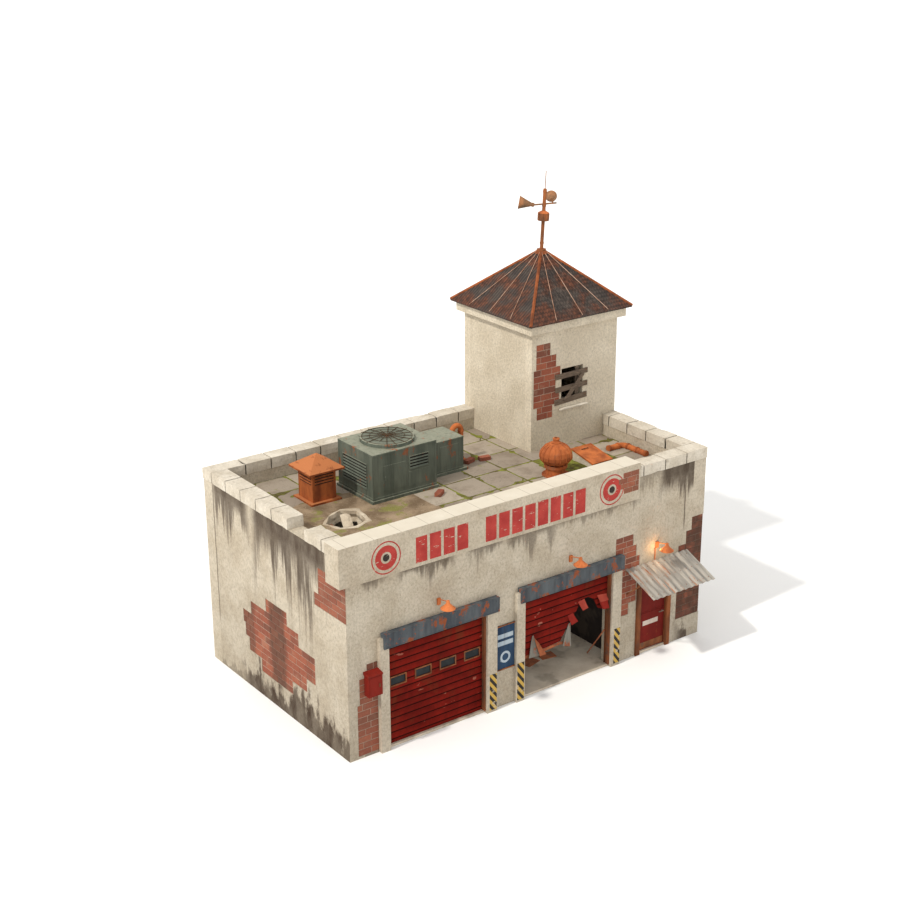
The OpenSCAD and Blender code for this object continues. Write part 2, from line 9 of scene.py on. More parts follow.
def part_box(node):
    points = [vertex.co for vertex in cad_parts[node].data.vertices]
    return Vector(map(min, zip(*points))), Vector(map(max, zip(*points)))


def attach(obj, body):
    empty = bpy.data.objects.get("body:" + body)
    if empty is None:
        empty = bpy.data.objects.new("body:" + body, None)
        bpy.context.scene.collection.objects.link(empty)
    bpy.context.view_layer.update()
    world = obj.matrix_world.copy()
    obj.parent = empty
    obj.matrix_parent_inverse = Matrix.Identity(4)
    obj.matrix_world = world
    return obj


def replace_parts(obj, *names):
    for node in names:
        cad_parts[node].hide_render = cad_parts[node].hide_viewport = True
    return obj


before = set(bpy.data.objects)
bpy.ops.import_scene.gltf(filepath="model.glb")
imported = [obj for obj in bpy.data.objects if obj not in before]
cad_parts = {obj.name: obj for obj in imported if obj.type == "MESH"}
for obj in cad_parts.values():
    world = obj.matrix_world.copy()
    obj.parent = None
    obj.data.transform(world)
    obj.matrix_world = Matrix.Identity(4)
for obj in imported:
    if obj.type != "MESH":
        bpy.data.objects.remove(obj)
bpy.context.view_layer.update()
random.seed(11)

# The site frame has its origin at the front left corner of the walls on the ground.
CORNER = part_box("left_wall")[0]
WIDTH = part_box("right_wall")[1].x - CORNER.x
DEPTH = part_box("back_wall")[1].y - CORNER.y
ROOF_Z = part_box("roof_slab")[1].z
TOWER_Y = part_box("tower_front_wall")[0].y - CORNER.y


def at(x, y, z):
    """Object-frame point of a site-frame point, in metres."""
    return Vector((x + CORNER.x, y + CORNER.y, z))


def site(point):
    return Vector((point.x - CORNER.x, point.y - CORNER.y, point.z))


# ---------------------------------------------------------------- camera and light


def make_camera():
    heading, pitch, roll = (math.radians(a) for a in (36.0485, -20.5253, -0.3386))
    forward = Vector((math.cos(pitch) * math.sin(heading), math.cos(pitch) * math.cos(heading),
                      math.sin(pitch)))
    right = Vector((math.cos(heading), -math.sin(heading), 0.0))
    up = right.cross(forward)
    side = right * math.cos(roll) + up * math.sin(roll)
    top = up * math.cos(roll) - right * math.sin(roll)
    data = bpy.data.cameras.new("camera")
    data.lens = 64.53
    data.sensor_width = 36.0
    data.clip_end = 2000.0
    camera = bpy.data.objects.new("camera", data)
    turn = Matrix((side, top, -forward)).transposed().to_4x4()
    camera.matrix_world = Matrix.Translation((-30.710, -41.690, 26.824)) @ turn
    bpy.context.collection.objects.link(camera)
    bpy.context.scene.camera = camera


def make_light():
    scene = bpy.context.scene
    scene.view_settings.view_transform = "Standard"
    world = bpy.data.worlds.new("studio")
    world.use_nodes = True
    background = world.node_tree.nodes["Background"]
    background.inputs["Color"].default_value = (1.0, 0.99, 0.97, 1.0)
    background.inputs["Strength"].default_value = 1.0
    scene.world = world
    data = bpy.data.lights.new("key", "SUN")
    data.energy = 2.3
    data.angle = math.radians(3.0)
    data.color = (1.0, 0.955, 0.88)
    key = bpy.data.objects.new("key", data)
    key.rotation_euler = Vector((1.0, 0.06, -1.11)).to_track_quat("-Z", "Y").to_euler()
    scene.collection.objects.link(key)
    data = bpy.data.lights.new("lamp_glow", "POINT")
    data.energy = 9.0
    data.shadow_soft_size = 0.05
    data.color = (1.0, 0.62, 0.30)
    glow = bpy.data.objects.new("lamp_glow", data)
    glow.location = at(12.62, -0.30, 4.02)
    scene.collection.objects.link(glow)
    data = bpy.data.lights.new("bay_fill", "AREA")
    data.energy = 42.0
    data.size = 3.0
    fill = bpy.data.objects.new("bay_fill", data)
    fill.location = at(8.9, 1.6, 5.6)
    scene.collection.objects.link(fill)


# ---------------------------------------------------------------- materials


def tint(red, green, blue):
    """Linear colour of an 8-bit sRGB colour."""
    def linear(value):
        value = value / 255
        return value / 12.92 if value <= 0.04045 else ((value + 0.055) / 1.055) ** 2.4
    return (linear(red), linear(green), linear(blue), 1.0)


class Value:
    """A node output; the usual signs on it add math nodes."""

    def __init__(self, look, socket):
        self.look, self.socket = look, socket

    def __add__(self, other):
        return self.look.math("ADD", self, other)

    def __sub__(self, other):
        return self.look.math("SUBTRACT", self, other)

    def __rsub__(self, other):
        return self.look.math("SUBTRACT", other, self)

    def __mul__(self, other):
        return self.look.math("MULTIPLY", self, other)

    def __truediv__(self, other):
        return self.look.math("DIVIDE", self, other)


class Look:
    """A procedural material, with short calls that add and join its nodes."""

    def __init__(self, name, roughness=0.85, metallic=0.0, specular=0.3):
        self.material = bpy.data.materials.new(name)
        self.material.use_nodes = True
        self.tree = self.material.node_tree
        self.shader = self.tree.nodes["Principled BSDF"]
        self.shader.inputs["Roughness"].default_value = roughness
        self.shader.inputs["Metallic"].default_value = metallic
        self.shader.inputs["Specular IOR Level"].default_value = specular
        self.place = self.add("ShaderNodeTexCoord").outputs["Object"]
        split = self.add("ShaderNodeSeparateXYZ", Vector=self.place)
        self.x, self.y, self.z = (Value(self, socket) for socket in split.outputs)

    def add(self, kind, **inputs):
        node = self.tree.nodes.new(kind)
        for name, value in inputs.items():
            self.join(value, node.inputs[name])
        return node

    def join(self, value, socket):
        value = value.socket if isinstance(value, Value) else value
        if isinstance(value, bpy.types.NodeSocket):
            self.tree.links.new(value, socket)
        else:
            socket.default_value = value

    def normal(self):
        """The three parts of the surface normal."""
        split = self.add("ShaderNodeSeparateXYZ",
                         Vector=self.add("ShaderNodeNewGeometry").outputs["Normal"])
        return [Value(self, socket) for socket in split.outputs]

    def chance(self):
        """A random value for each loose part of the mesh."""
        return Value(self, self.add("ShaderNodeNewGeometry").outputs["Random Per Island"])

    def math(self, operation, a, b=0.0):
        node = self.tree.nodes.new("ShaderNodeMath")
        node.operation = operation
        self.join(a, node.inputs[0])
        self.join(b, node.inputs[1])
        return Value(self, node.outputs[0])

    def fade(self, value, low, high):
        """0 below low, 1 above high, smooth between; low may be the larger."""
        node = self.tree.nodes.new("ShaderNodeMapRange")
        node.interpolation_type = "SMOOTHSTEP"
        self.join(value, node.inputs["Value"])
        self.join(low, node.inputs["From Min"])
        self.join(high, node.inputs["From Max"])
        return Value(self, node.outputs[0])

    def noise(self, scale, detail=3.0, stretch=None, shift=0.0, rough=0.6):
        where = self.place
        if stretch or shift:
            node = self.tree.nodes.new("ShaderNodeVectorMath")
            node.operation = "MULTIPLY_ADD"
            self.join(where, node.inputs[0])
            node.inputs[1].default_value = stretch or (1, 1, 1)
            node.inputs[2].default_value = (shift, shift * 0.7, shift * 1.3)
            where = node.outputs[0]
        node = self.add("ShaderNodeTexNoise", Vector=where, Scale=scale, Detail=detail, Roughness=rough)
        return Value(self, node.outputs[0])

    def mix(self, factor, a, b):
        node = self.tree.nodes.new("ShaderNodeMix")
        node.data_type = "RGBA"
        self.join(factor, node.inputs[0])
        self.join(a, node.inputs[6])
        self.join(b, node.inputs[7])
        return node.outputs[2]

    def times(self, colour, factor):
        """Darkens a colour by a grey factor."""
        grey = self.add("ShaderNodeCombineXYZ", X=factor, Y=factor, Z=factor).outputs[0]
        node = self.tree.nodes.new("ShaderNodeMix")
        node.data_type = "RGBA"
        node.blend_type = "MULTIPLY"
        node.inputs[0].default_value = 1.0
        self.join(colour, node.inputs[6])
        self.join(grey, node.inputs[7])
        return node.outputs[2]

    def window(self, along, low, high, soft=0.25):
        rise = self.fade(along, low - soft, low + soft)
        fall = self.fade(along, high + soft, high - soft)
        return rise * fall

    def highest(self, masks):
        total = masks[0]
        for mask in masks[1:]:
            total = self.math("MAXIMUM", total, mask)
        return total

    def bump(self, height, distance=0.02, strength=0.6):
        node = self.add("ShaderNodeBump", Height=height, Distance=distance, Strength=strength)
        if self.shader.inputs["Normal"].is_linked:
            self.tree.links.new(self.shader.inputs["Normal"].links[0].from_socket, node.inputs["Normal"])
        self.join(node.outputs[0], self.shader.inputs["Normal"])

    def paint(self, colour, roughness=None):
        self.join(colour, self.shader.inputs["Base Color"])
        if roughness is not None:
            self.join(roughness, self.shader.inputs["Roughness"])
        return self.material


PLASTER_LIGHT = tint(204, 193, 174)
PLASTER_DARK = tint(186, 173, 152)
GRIME = tint(58, 42, 29)


def grain_factor(look, grain, spread=0.34):
    part = look.fade(grain, 0.25, 0.75) * spread
    return part + (1.0 - spread * 0.5)


def plaster_colour(look, light=PLASTER_LIGHT, dark=PLASTER_DARK):
    """Mottled render: broad tone changes, coarse flecks and scattered dark pits."""
    broad = look.fade(look.noise(0.9, 3.0), 0.3, 0.7)
    colour = look.mix(broad, dark, light)
    fleck = look.fade(look.noise(13.0, 4.0, (1.0, 1.0, 0.8), 3.0, 0.75), 0.34, 0.62)
    colour = look.times(colour, fleck * 0.26 + 0.80)
    pits = look.fade(look.noise(11.0, 2.0, shift=4.0), 0.66, 0.72)
    colour = look.mix(pits * 0.4, colour, tint(118, 104, 86))
    look.bump(look.noise(16.0, 4.0, rough=0.8), 0.03, 0.8)
    return colour


def outward(look, along, wall_side):
    """1 on faces that look out of the building, 0 elsewhere."""
    across = look.normal()[1 if along == "x" else 0]
    return look.fade(across * wall_side, 0.3, 0.6)


def plaster_look(name, along, drips=(), feet=(), light=PLASTER_LIGHT, dark=PLASTER_DARK, streaks=(),
                 side=-1.0, painted_foot_shade=1.0):
    """Render with dark runs from the top and splash grime at the foot.

    drips are (low, high, top, solid, length, strength) and feet are (low, high, height, strength)
    along the wall; streaks are (place, top, bottom) single thin runs.
    """
    look = Look(name, 0.92)
    colour = plaster_colour(look, light, dark)
    # painted shade: the colour is darkened more and more towards the foot of the wall
    if painted_foot_shade < 1.0:
        rise = look.fade(look.z, 0.0, 8.0)
        colour = look.times(colour, rise * (0.92 - painted_foot_shade) + painted_foot_shade)
    axis = look.x if along == "x" else look.y
    shift = CORNER.x if along == "x" else CORNER.y
    reach = look.noise(1.3, 2.0, (1, 1, 0.0))
    ragged = look.noise(2.6, 3.0, (1, 1, 0.06), 2.0)
    fine = look.noise(9.0, 3.0, (1, 1, 0.04), 5.0)
    comb = ragged * 0.65 + fine * 0.35
    comb = look.fade(comb, 0.34, 0.64)
    cloud = look.fade(look.noise(2.2, 4.0, (1, 1, 0.35), 9.0), 0.3, 0.7)
    splash = look.fade(look.noise(2.4, 5.0, (1, 1, 0.5), 15.0, 0.65), 0.3, 0.66)
    masks = []
    for low, high, top, solid, length, strength in drips:
        drop = top - look.z
        run = (look.fade(reach, 0.3, 0.7) + 0.4) * length
        tail = (drop - solid) / run
        mask = look.fade(comb * 1.25 - tail, 0.0, 0.75)
        body = look.fade(drop, solid * 1.8, solid * 0.4)
        mask = look.math("MAXIMUM", mask * 0.88, body * 0.95)
        mask = mask * (cloud * 0.2 + 0.8)
        mask = mask * look.window(axis, low + shift, high + shift, 0.25)
        masks.append(mask * strength)
    for low, high, height, strength in feet:
        run = (look.fade(reach, 0.3, 0.7) + 0.45) * height
        climb = look.z / run
        mask = look.fade(splash * 0.9 + 0.5 - climb, 0.0, 0.6)
        mask = mask * (cloud * 0.3 + 0.7)
        mask = mask * look.window(axis, low + shift, high + shift, 0.4)
        masks.append(mask * strength)
    for place, top, bottom in streaks:
        wobble = (look.noise(0.8, 2.0) - 0.5) * 0.12
        near = look.math("ABSOLUTE", axis + wobble - (place + shift))
        near = look.fade(near, 0.05, 0.01)
        span = look.fade(look.z, bottom, bottom + 0.6) * look.fade(look.z, top + 0.1, top)
        masks.append(near * span * 0.7)
    if masks:
        mask = look.highest(masks) * outward(look, along, side)
        colour = look.mix(mask, colour, GRIME)
    return look.paint(colour)


def brick_look(name, grime=0.0, sooty=GRIME, bands=()):
    """Old brick; bands are (low, high, strength) dark bands down the left wall."""
    look = Look(name, 0.9)
    chance = look.chance()
    red = look.mix(look.fade(chance, 0.0, 0.6), tint(150, 86, 64), tint(134, 74, 56))
    red = look.mix(look.fade(chance, 0.72, 1.0), red, tint(110, 68, 54))
    speck = look.noise(24.0, 3.0)
    red = look.times(red, grain_factor(look, speck))
    dust = look.fade(look.noise(3.0, 3.0, shift=2.0), 0.5, 0.75)
    red = look.mix(dust * 0.3, red, tint(164, 136, 114))
    red = look.mix(look.fade(look.noise(1.6, 3.0), 0.2, 0.6) * grime, red, sooty)
    red = dark_wall_bands(look, red, bands)
    look.bump(speck, 0.01, 0.5)
    return look.paint(red)


def dark_wall_bands(look, colour, bands):
    wave = (look.noise(1.4, 3.0, (1, 1, 0.4), 6.0) - 0.5) * 0.5
    along = look.y - CORNER.y + wave
    # darkens the colour in soft bands along the wall
    for low, high, strength in bands:
        band = look.window(along, low, high, 0.12)
        colour = look.mix(band * strength, colour, tint(74, 54, 42))
    return colour


def mortar_look(name="mortar", grime=0.0, bands=()):
    look = Look(name, 0.95)
    colour = look.mix(look.noise(9.0, 4.0), tint(150, 122, 104), tint(192, 168, 150))
    colour = look.mix(grime, colour, GRIME)
    colour = dark_wall_bands(look, colour, bands)
    look.bump(look.noise(40.0, 3.0), 0.006, 0.6)
    return look.paint(colour)


def stone_look(name, light=tint(208, 200, 186), dark=tint(184, 174, 157), wear=0.45):
    """Pale cast stone with grey weathering and small pits."""
    look = Look(name, 0.88)
    colour = look.mix(look.fade(look.noise(1.3, 4.0), 0.3, 0.7), dark, light)
    chance = look.chance()
    colour = look.mix(chance * 0.4, colour, dark)
    blot = look.fade(look.noise(4.0, 5.0, shift=3.0), 0.56, 0.72)
    colour = look.mix(blot * wear, colour, tint(138, 126, 108))
    grain = look.noise(12.0, 4.0, rough=0.8)
    colour = look.times(colour, grain_factor(look, grain, 0.3))
    look.bump(grain, 0.012, 0.6)
    return look.paint(colour)


def concrete_look(name, light, dark, stain=0.4):
    look = Look(name, 0.92)
    colour = look.mix(look.fade(look.noise(1.1, 5.0), 0.3, 0.7), dark, light)
    pool = look.fade(look.noise(0.8, 3.0, shift=6.0), 0.52, 0.62)
    colour = look.mix(pool * stain, colour, tint(96, 84, 70))
    grain = look.noise(30.0, 3.0)
    colour = look.times(colour, grain * 0.2 + 0.9)
    look.bump(grain, 0.006, 0.5)
    return look.paint(colour)


def paver_look():
    """Grey roof pavers, each its own tone, with lichen and green at the edges."""
    look = Look("paver", 0.93)
    chance = look.chance()
    colour = look.mix(chance, tint(140, 128, 114), tint(168, 156, 140))
    soil = look.fade(look.noise(1.2, 4.0, shift=1.0), 0.45, 0.7)
    colour = look.mix(soil * 0.55, colour, tint(112, 98, 82))
    moss = look.fade(look.noise(2.6, 5.0, shift=8.0), 0.62, 0.7)
    colour = look.mix(moss * 0.55, colour, tint(122, 122, 66))
    crack = look.fade(look.math("ABSOLUTE", look.noise(1.6, 4.0, shift=5.0) - 0.5), 0.006, 0.0)
    colour = look.mix(crack * 0.5, colour, tint(70, 60, 48))
    grain = look.noise(28.0, 3.0)
    colour = look.times(colour, grain * 0.3 + 0.84)
    look.bump(grain, 0.008, 0.6)
    return look.paint(colour)


def moss_look():
    look = Look("moss", 1.0, specular=0.1)
    colour = look.mix(look.fade(look.noise(3.5, 4.0), 0.35, 0.65), tint(92, 84, 52), tint(130, 134, 60))
    fuzz = look.noise(60.0, 3.0)
    colour = look.times(colour, fuzz * 0.7 + 0.6)
    look.bump(fuzz, 0.02, 1.0)
    return look.paint(colour)


def soil_look():
    look = Look("soil", 1.0, specular=0.1)
    colour = look.mix(look.fade(look.noise(1.6, 5.0), 0.3, 0.7), tint(112, 94, 74), tint(156, 136, 112))
    moss = look.fade(look.noise(1.1, 5.0, shift=12.0, rough=0.7), 0.53, 0.62)
    green = look.mix(look.noise(5.0, 3.0), tint(108, 108, 54), tint(140, 138, 76))
    colour = look.mix(moss * 0.8, colour, green)
    pebble = look.add("ShaderNodeTexVoronoi", Vector=look.place, Scale=22.0)
    stone = look.fade(pebble.outputs["Distance"], 0.3, 0.15)
    pick = look.fade(look.noise(7.0, 3.0, shift=2.0), 0.5, 0.62)
    colour = look.mix(stone * (pick * 0.7), colour, tint(184, 168, 144))
    dark = look.fade(look.noise(12.0, 4.0, shift=7.0), 0.58, 0.7)
    colour = look.mix(dark * 0.4, colour, tint(72, 58, 44))
    look.bump(pebble.outputs["Distance"], 0.02, 0.8)
    return look.paint(colour)


def rust_look(name, bright=tint(188, 104, 56), deep=tint(122, 62, 34), ash=tint(96, 78, 66), dark=0.3,
              flow=(1, 1, 0.35), top=None):
    """Rusted sheet: orange bloom over brown, with darker runs; top is a painted sunlit tone for faces that
    look up.
    """
    look = Look(name, 0.86, 0.15, 0.3)
    bloom = look.fade(look.noise(2.2, 6.0, flow, 1.0), 0.32, 0.66)
    colour = look.mix(bloom, deep, bright)
    runs = look.fade(look.noise(6.0, 4.0, (1, 1, 0.12) if flow[2] < 1 else flow, 7.0), 0.55, 0.75)
    colour = look.mix(runs * dark, colour, tint(74, 44, 30))
    cool = look.fade(look.noise(1.7, 5.0, shift=9.0), 0.6, 0.72)
    colour = look.mix(cool * 0.6, colour, ash)
    if top:
        # painted light: faces that look up take the pale top tone as if lit by the sun, broken by scratches
        # of deep rust
        up = look.normal()[2]
        scratch = look.fade(look.noise(7.0, 4.0, (1, 0.35, 1), 13.0), 0.56, 0.68)
        pale = look.mix(scratch * 0.6, top, deep)
        colour = look.mix(look.fade(up, 0.3, 0.7), colour, pale)
    scale = look.noise(34.0, 4.0)
    colour = look.times(colour, scale * 0.3 + 0.84)
    look.bump(scale, 0.006, 0.6)
    return look.paint(colour)


def painted_look(name, light, dark, rust=0.6, chips=None, chip_cut=0.66, metallic=0.0, scale=2.4,
                 gloss=0.75):
    """Old paint on sheet metal, with rust patches, dark runs and optional pale chips."""
    look = Look(name, gloss, metallic, 0.15)
    tone = look.fade(look.noise(2.0, 4.0, (1, 1, 0.25)), 0.3, 0.7)
    colour = look.mix(tone, dark, light)
    runs = look.fade(look.noise(9.0, 3.0, (1, 1, 0.06), 3.0), 0.5, 0.8)
    colour = look.mix(runs * 0.35, colour, tint(52, 42, 36))
    patch = look.fade(look.noise(scale, 7.0, (1, 1, 0.6), 11.0, 0.7), rust, rust + 0.05)
    deep = look.mix(look.noise(14.0, 3.0), tint(118, 60, 34), tint(158, 86, 50))
    colour = look.mix(patch * 0.85, colour, deep)
    if chips:
        flake = look.fade(look.noise(3.2, 5.0, (0.8, 0.8, 1.2), 17.0), chip_cut, chip_cut + 0.03)
        colour = look.mix(flake * 0.8, colour, chips)
    fine = look.noise(30.0, 3.0)
    colour = look.times(colour, fine * 0.16 + 0.92)
    look.bump(1.0 - patch, 0.003, 0.5)
    return look.paint(colour, patch * 0.3 + gloss)


def unit_look():
    """Green-grey plant paint with a painted sunlit top, rust patches and dark runs."""
    look = Look("unit_green", 0.7, 0.1, 0.3)
    tone = look.fade(look.noise(2.0, 4.0, (1, 1, 0.25)), 0.3, 0.7)
    colour = look.mix(tone, tint(76, 84, 74), tint(104, 110, 98))
    # painted light: faces that look up get a paler tone, as if lit by the sun
    up = look.normal()[2]
    pale = look.mix(look.noise(2.6, 5.0), tint(116, 120, 104), tint(152, 152, 134))
    colour = look.mix(look.fade(up, 0.5, 0.9), colour, pale)
    runs = look.fade(look.noise(9.0, 3.0, (1, 1, 0.06), 3.0), 0.45, 0.75)
    colour = look.mix(runs * 0.4, colour, tint(46, 48, 42))
    patch = look.fade(look.noise(2.6, 7.0, (1, 1, 0.5), 11.0, 0.7), 0.59, 0.65)
    deep = look.mix(look.noise(14.0, 3.0), tint(108, 58, 34), tint(168, 96, 56))
    colour = look.mix(patch * 0.85, colour, deep)
    look.bump(1.0 - patch, 0.003, 0.5)
    return look.paint(colour)


def slat_look():
    """Shutter paint: deep red with pale flakes; each slat has painted shade towards its lower joint and a
    painted dark line of shade at the joint.
    """
    look = Look("shutter_red", 0.8, 0.0, 0.06)
    tone = look.fade(look.noise(1.5, 4.0), 0.3, 0.7)
    colour = look.mix(tone, tint(92, 17, 11), tint(118, 25, 16))
    brown = look.fade(look.noise(1.3, 5.0, (1, 1, 0.7), 9.0), 0.5, 0.7)
    colour = look.mix(brown * 0.65, colour, tint(98, 46, 26))
    flake = look.fade(look.noise(2.3, 5.0, (0.9, 0.9, 1.5), 21.0, 0.55), 0.66, 0.69)
    colour = look.mix(flake * 0.6, colour, tint(170, 108, 90))
    runs = look.fade(look.noise(8.0, 3.0, (1, 1, 0.08), 3.0), 0.5, 0.8)
    colour = look.mix(runs * 0.3, colour, tint(50, 20, 15))
    pitch = 0.249
    phase = look.math("FRACT", (look.z - 0.198) / pitch)
    # painted shade: a dark line in each groove between the slats
    joint = look.math("MAXIMUM", look.fade(phase, 0.20, 0.13), look.fade(phase, 0.93, 1.0))
    colour = look.mix(joint * 0.8, colour, tint(34, 10, 8))
    # painted shade and highlight: each slat is lightened just above a groove and darkened higher up
    shade = look.fade(phase, 0.2, 0.9) * -0.22 + 1.08
    colour = look.times(colour, shade)
    look.bump(look.noise(18.0, 3.0), 0.004, 0.3)
    return look.paint(colour)


def corrugated_look(name, light, dark, rust_cut, across, rust_deep=tint(92, 46, 28),
                    rust_bright=tint(150, 84, 50)):
    """Zinc sheet that rusts in long patches down its flutes."""
    look = Look(name, 0.62, 0.35, 0.4)
    stretch = (3.2, 0.5, 0.5) if across == "x" else (0.6, 0.6, 0.6)
    colour = look.mix(look.fade(look.noise(2.4, 4.0, stretch), 0.3, 0.7), dark, light)
    patch = look.fade(look.noise(1.2, 6.0, stretch, 3.0, 0.65), rust_cut, rust_cut + 0.09)
    deep = look.mix(look.fade(look.noise(5.0, 4.0, shift=5.0), 0.35, 0.65), rust_deep, rust_bright)
    colour = look.mix(patch * 0.92, colour, deep)
    fine = look.noise(30.0, 3.0)
    colour = look.times(colour, fine * 0.2 + 0.9)
    look.bump(fine, 0.003, 0.4)
    return look.paint(colour, patch * 0.3 + 0.55)


def roof_sheet_look():
    """Dark tower sheets with rust that gathers in level rows, and a line of painted shade along each
    corrugation.
    """
    look = Look("roof_sheet", 0.7, 0.1, 0.3)
    colour = look.mix(look.fade(look.noise(2.4, 4.0), 0.3, 0.7), tint(48, 41, 38), tint(70, 61, 55))
    row = look.math("PINGPONG", look.z - 11.0, 0.38)
    row = look.fade(row, 0.06, 0.34)
    patch = look.noise(1.4, 4.0, (1, 1, 1.1), 3.0, 0.6)
    patch = patch + row * 0.16
    patch = look.fade(patch, 0.48, 0.70)
    deep = look.mix(look.fade(look.noise(6.0, 4.0, shift=5.0), 0.35, 0.65), tint(60, 36, 25),
                    tint(96, 56, 38))
    colour = look.mix(patch * 0.95, colour, deep)
    side = look.fade(look.math("ABSOLUTE", look.normal()[0]), 0.22, 0.28)
    middle = 1.0 - side
    across = look.x * middle + look.y * side
    # painted shade: a dark line at every corrugation of the sheet
    flute_shade = look.math("PINGPONG", across, 0.064)
    flute_shade = look.fade(flute_shade, 0.012, 0.05)
    colour = look.times(colour, flute_shade * 0.75 + 0.55)
    look.bump(look.noise(30.0, 3.0), 0.003, 0.4)
    return look.paint(colour)


def timber_look():
    look = Look("grey_timber", 0.85)
    grain = look.noise(9.0, 6.0, (0.5, 1, 7.0))
    colour = look.mix(look.fade(grain, 0.3, 0.7), tint(78, 66, 56), tint(122, 106, 90))
    line = look.fade(look.noise(16.0, 4.0, (0.3, 1, 9.0), 3.0), 0.6, 0.72)
    colour = look.mix(line * 0.6, colour, tint(50, 40, 32))
    look.bump(grain, 0.01, 0.6)
    return look.paint(colour)


def hazard_look(high):
    """Worn yellow and black bars that fall to the right."""
    look = Look("hazard_paint", 0.7)
    climb = look.x * 1.3 + look.z
    bar = look.math("PINGPONG", climb, high / 2)
    wave = look.noise(9.0, 3.0) * 0.02
    black = look.fade(bar + wave, high / 4 + 0.004, high / 4 + 0.016)
    yellow = look.mix(look.noise(6.0, 4.0), tint(176, 142, 58), tint(196, 162, 80))
    colour = look.mix(black, yellow, tint(38, 34, 30))
    worn = look.fade(look.noise(7.0, 5.0, shift=6.0), 0.6, 0.64)
    colour = look.mix(worn * 0.85, colour, PLASTER_DARK)
    look.bump(look.noise(13.0, 4.0, rough=0.75), 0.01, 0.5)
    return look.paint(colour)


def worn_paint_look(name, light, dark, wear_cut):
    """Paint on render, worn back to the render in scratches and patches."""
    look = Look(name, 0.85)
    base = plaster_colour(look)
    colour = look.mix(look.fade(look.noise(2.0, 4.0), 0.3, 0.7), dark, light)
    worn = look.fade(look.noise(4.5, 6.0, (0.6, 1, 1.6), 5.0, 0.7), wear_cut, wear_cut + 0.03)
    scratch = look.fade(look.noise(8.0, 2.0, (0.5, 1, 3.0), 8.0), 0.69, 0.71)
    gone = look.math("MAXIMUM", worn, scratch)
    return look.paint(look.mix(gone, colour, base))


def glass_look():
    look = Look("dirty_glass", 0.5, 0.0, 0.2)
    haze = look.fade(look.noise(3.0, 5.0, (1, 1, 0.6)), 0.4, 0.75)
    colour = look.mix(haze, tint(22, 27, 30), tint(44, 50, 51))
    return look.paint(colour, haze * 0.3 + 0.45)


def glow_look():
    look = Look("warm_bulb", 0.4)
    look.shader.inputs["Emission Color"].default_value = (1.0, 0.66, 0.32, 1.0)
    look.shader.inputs["Emission Strength"].default_value = 6.0
    haze = look.noise(20.0, 2.0)
    return look.paint(look.mix(haze, tint(255, 214, 150), tint(255, 190, 110)))


def dark_look(name="painted_shade_gap", colour=tint(24, 22, 20), other=tint(44, 40, 36)):
    look = Look(name, 0.95, specular=0.1)
    return look.paint(look.mix(look.noise(6.0, 3.0), colour, other))


# ---------------------------------------------------------------- mesh building


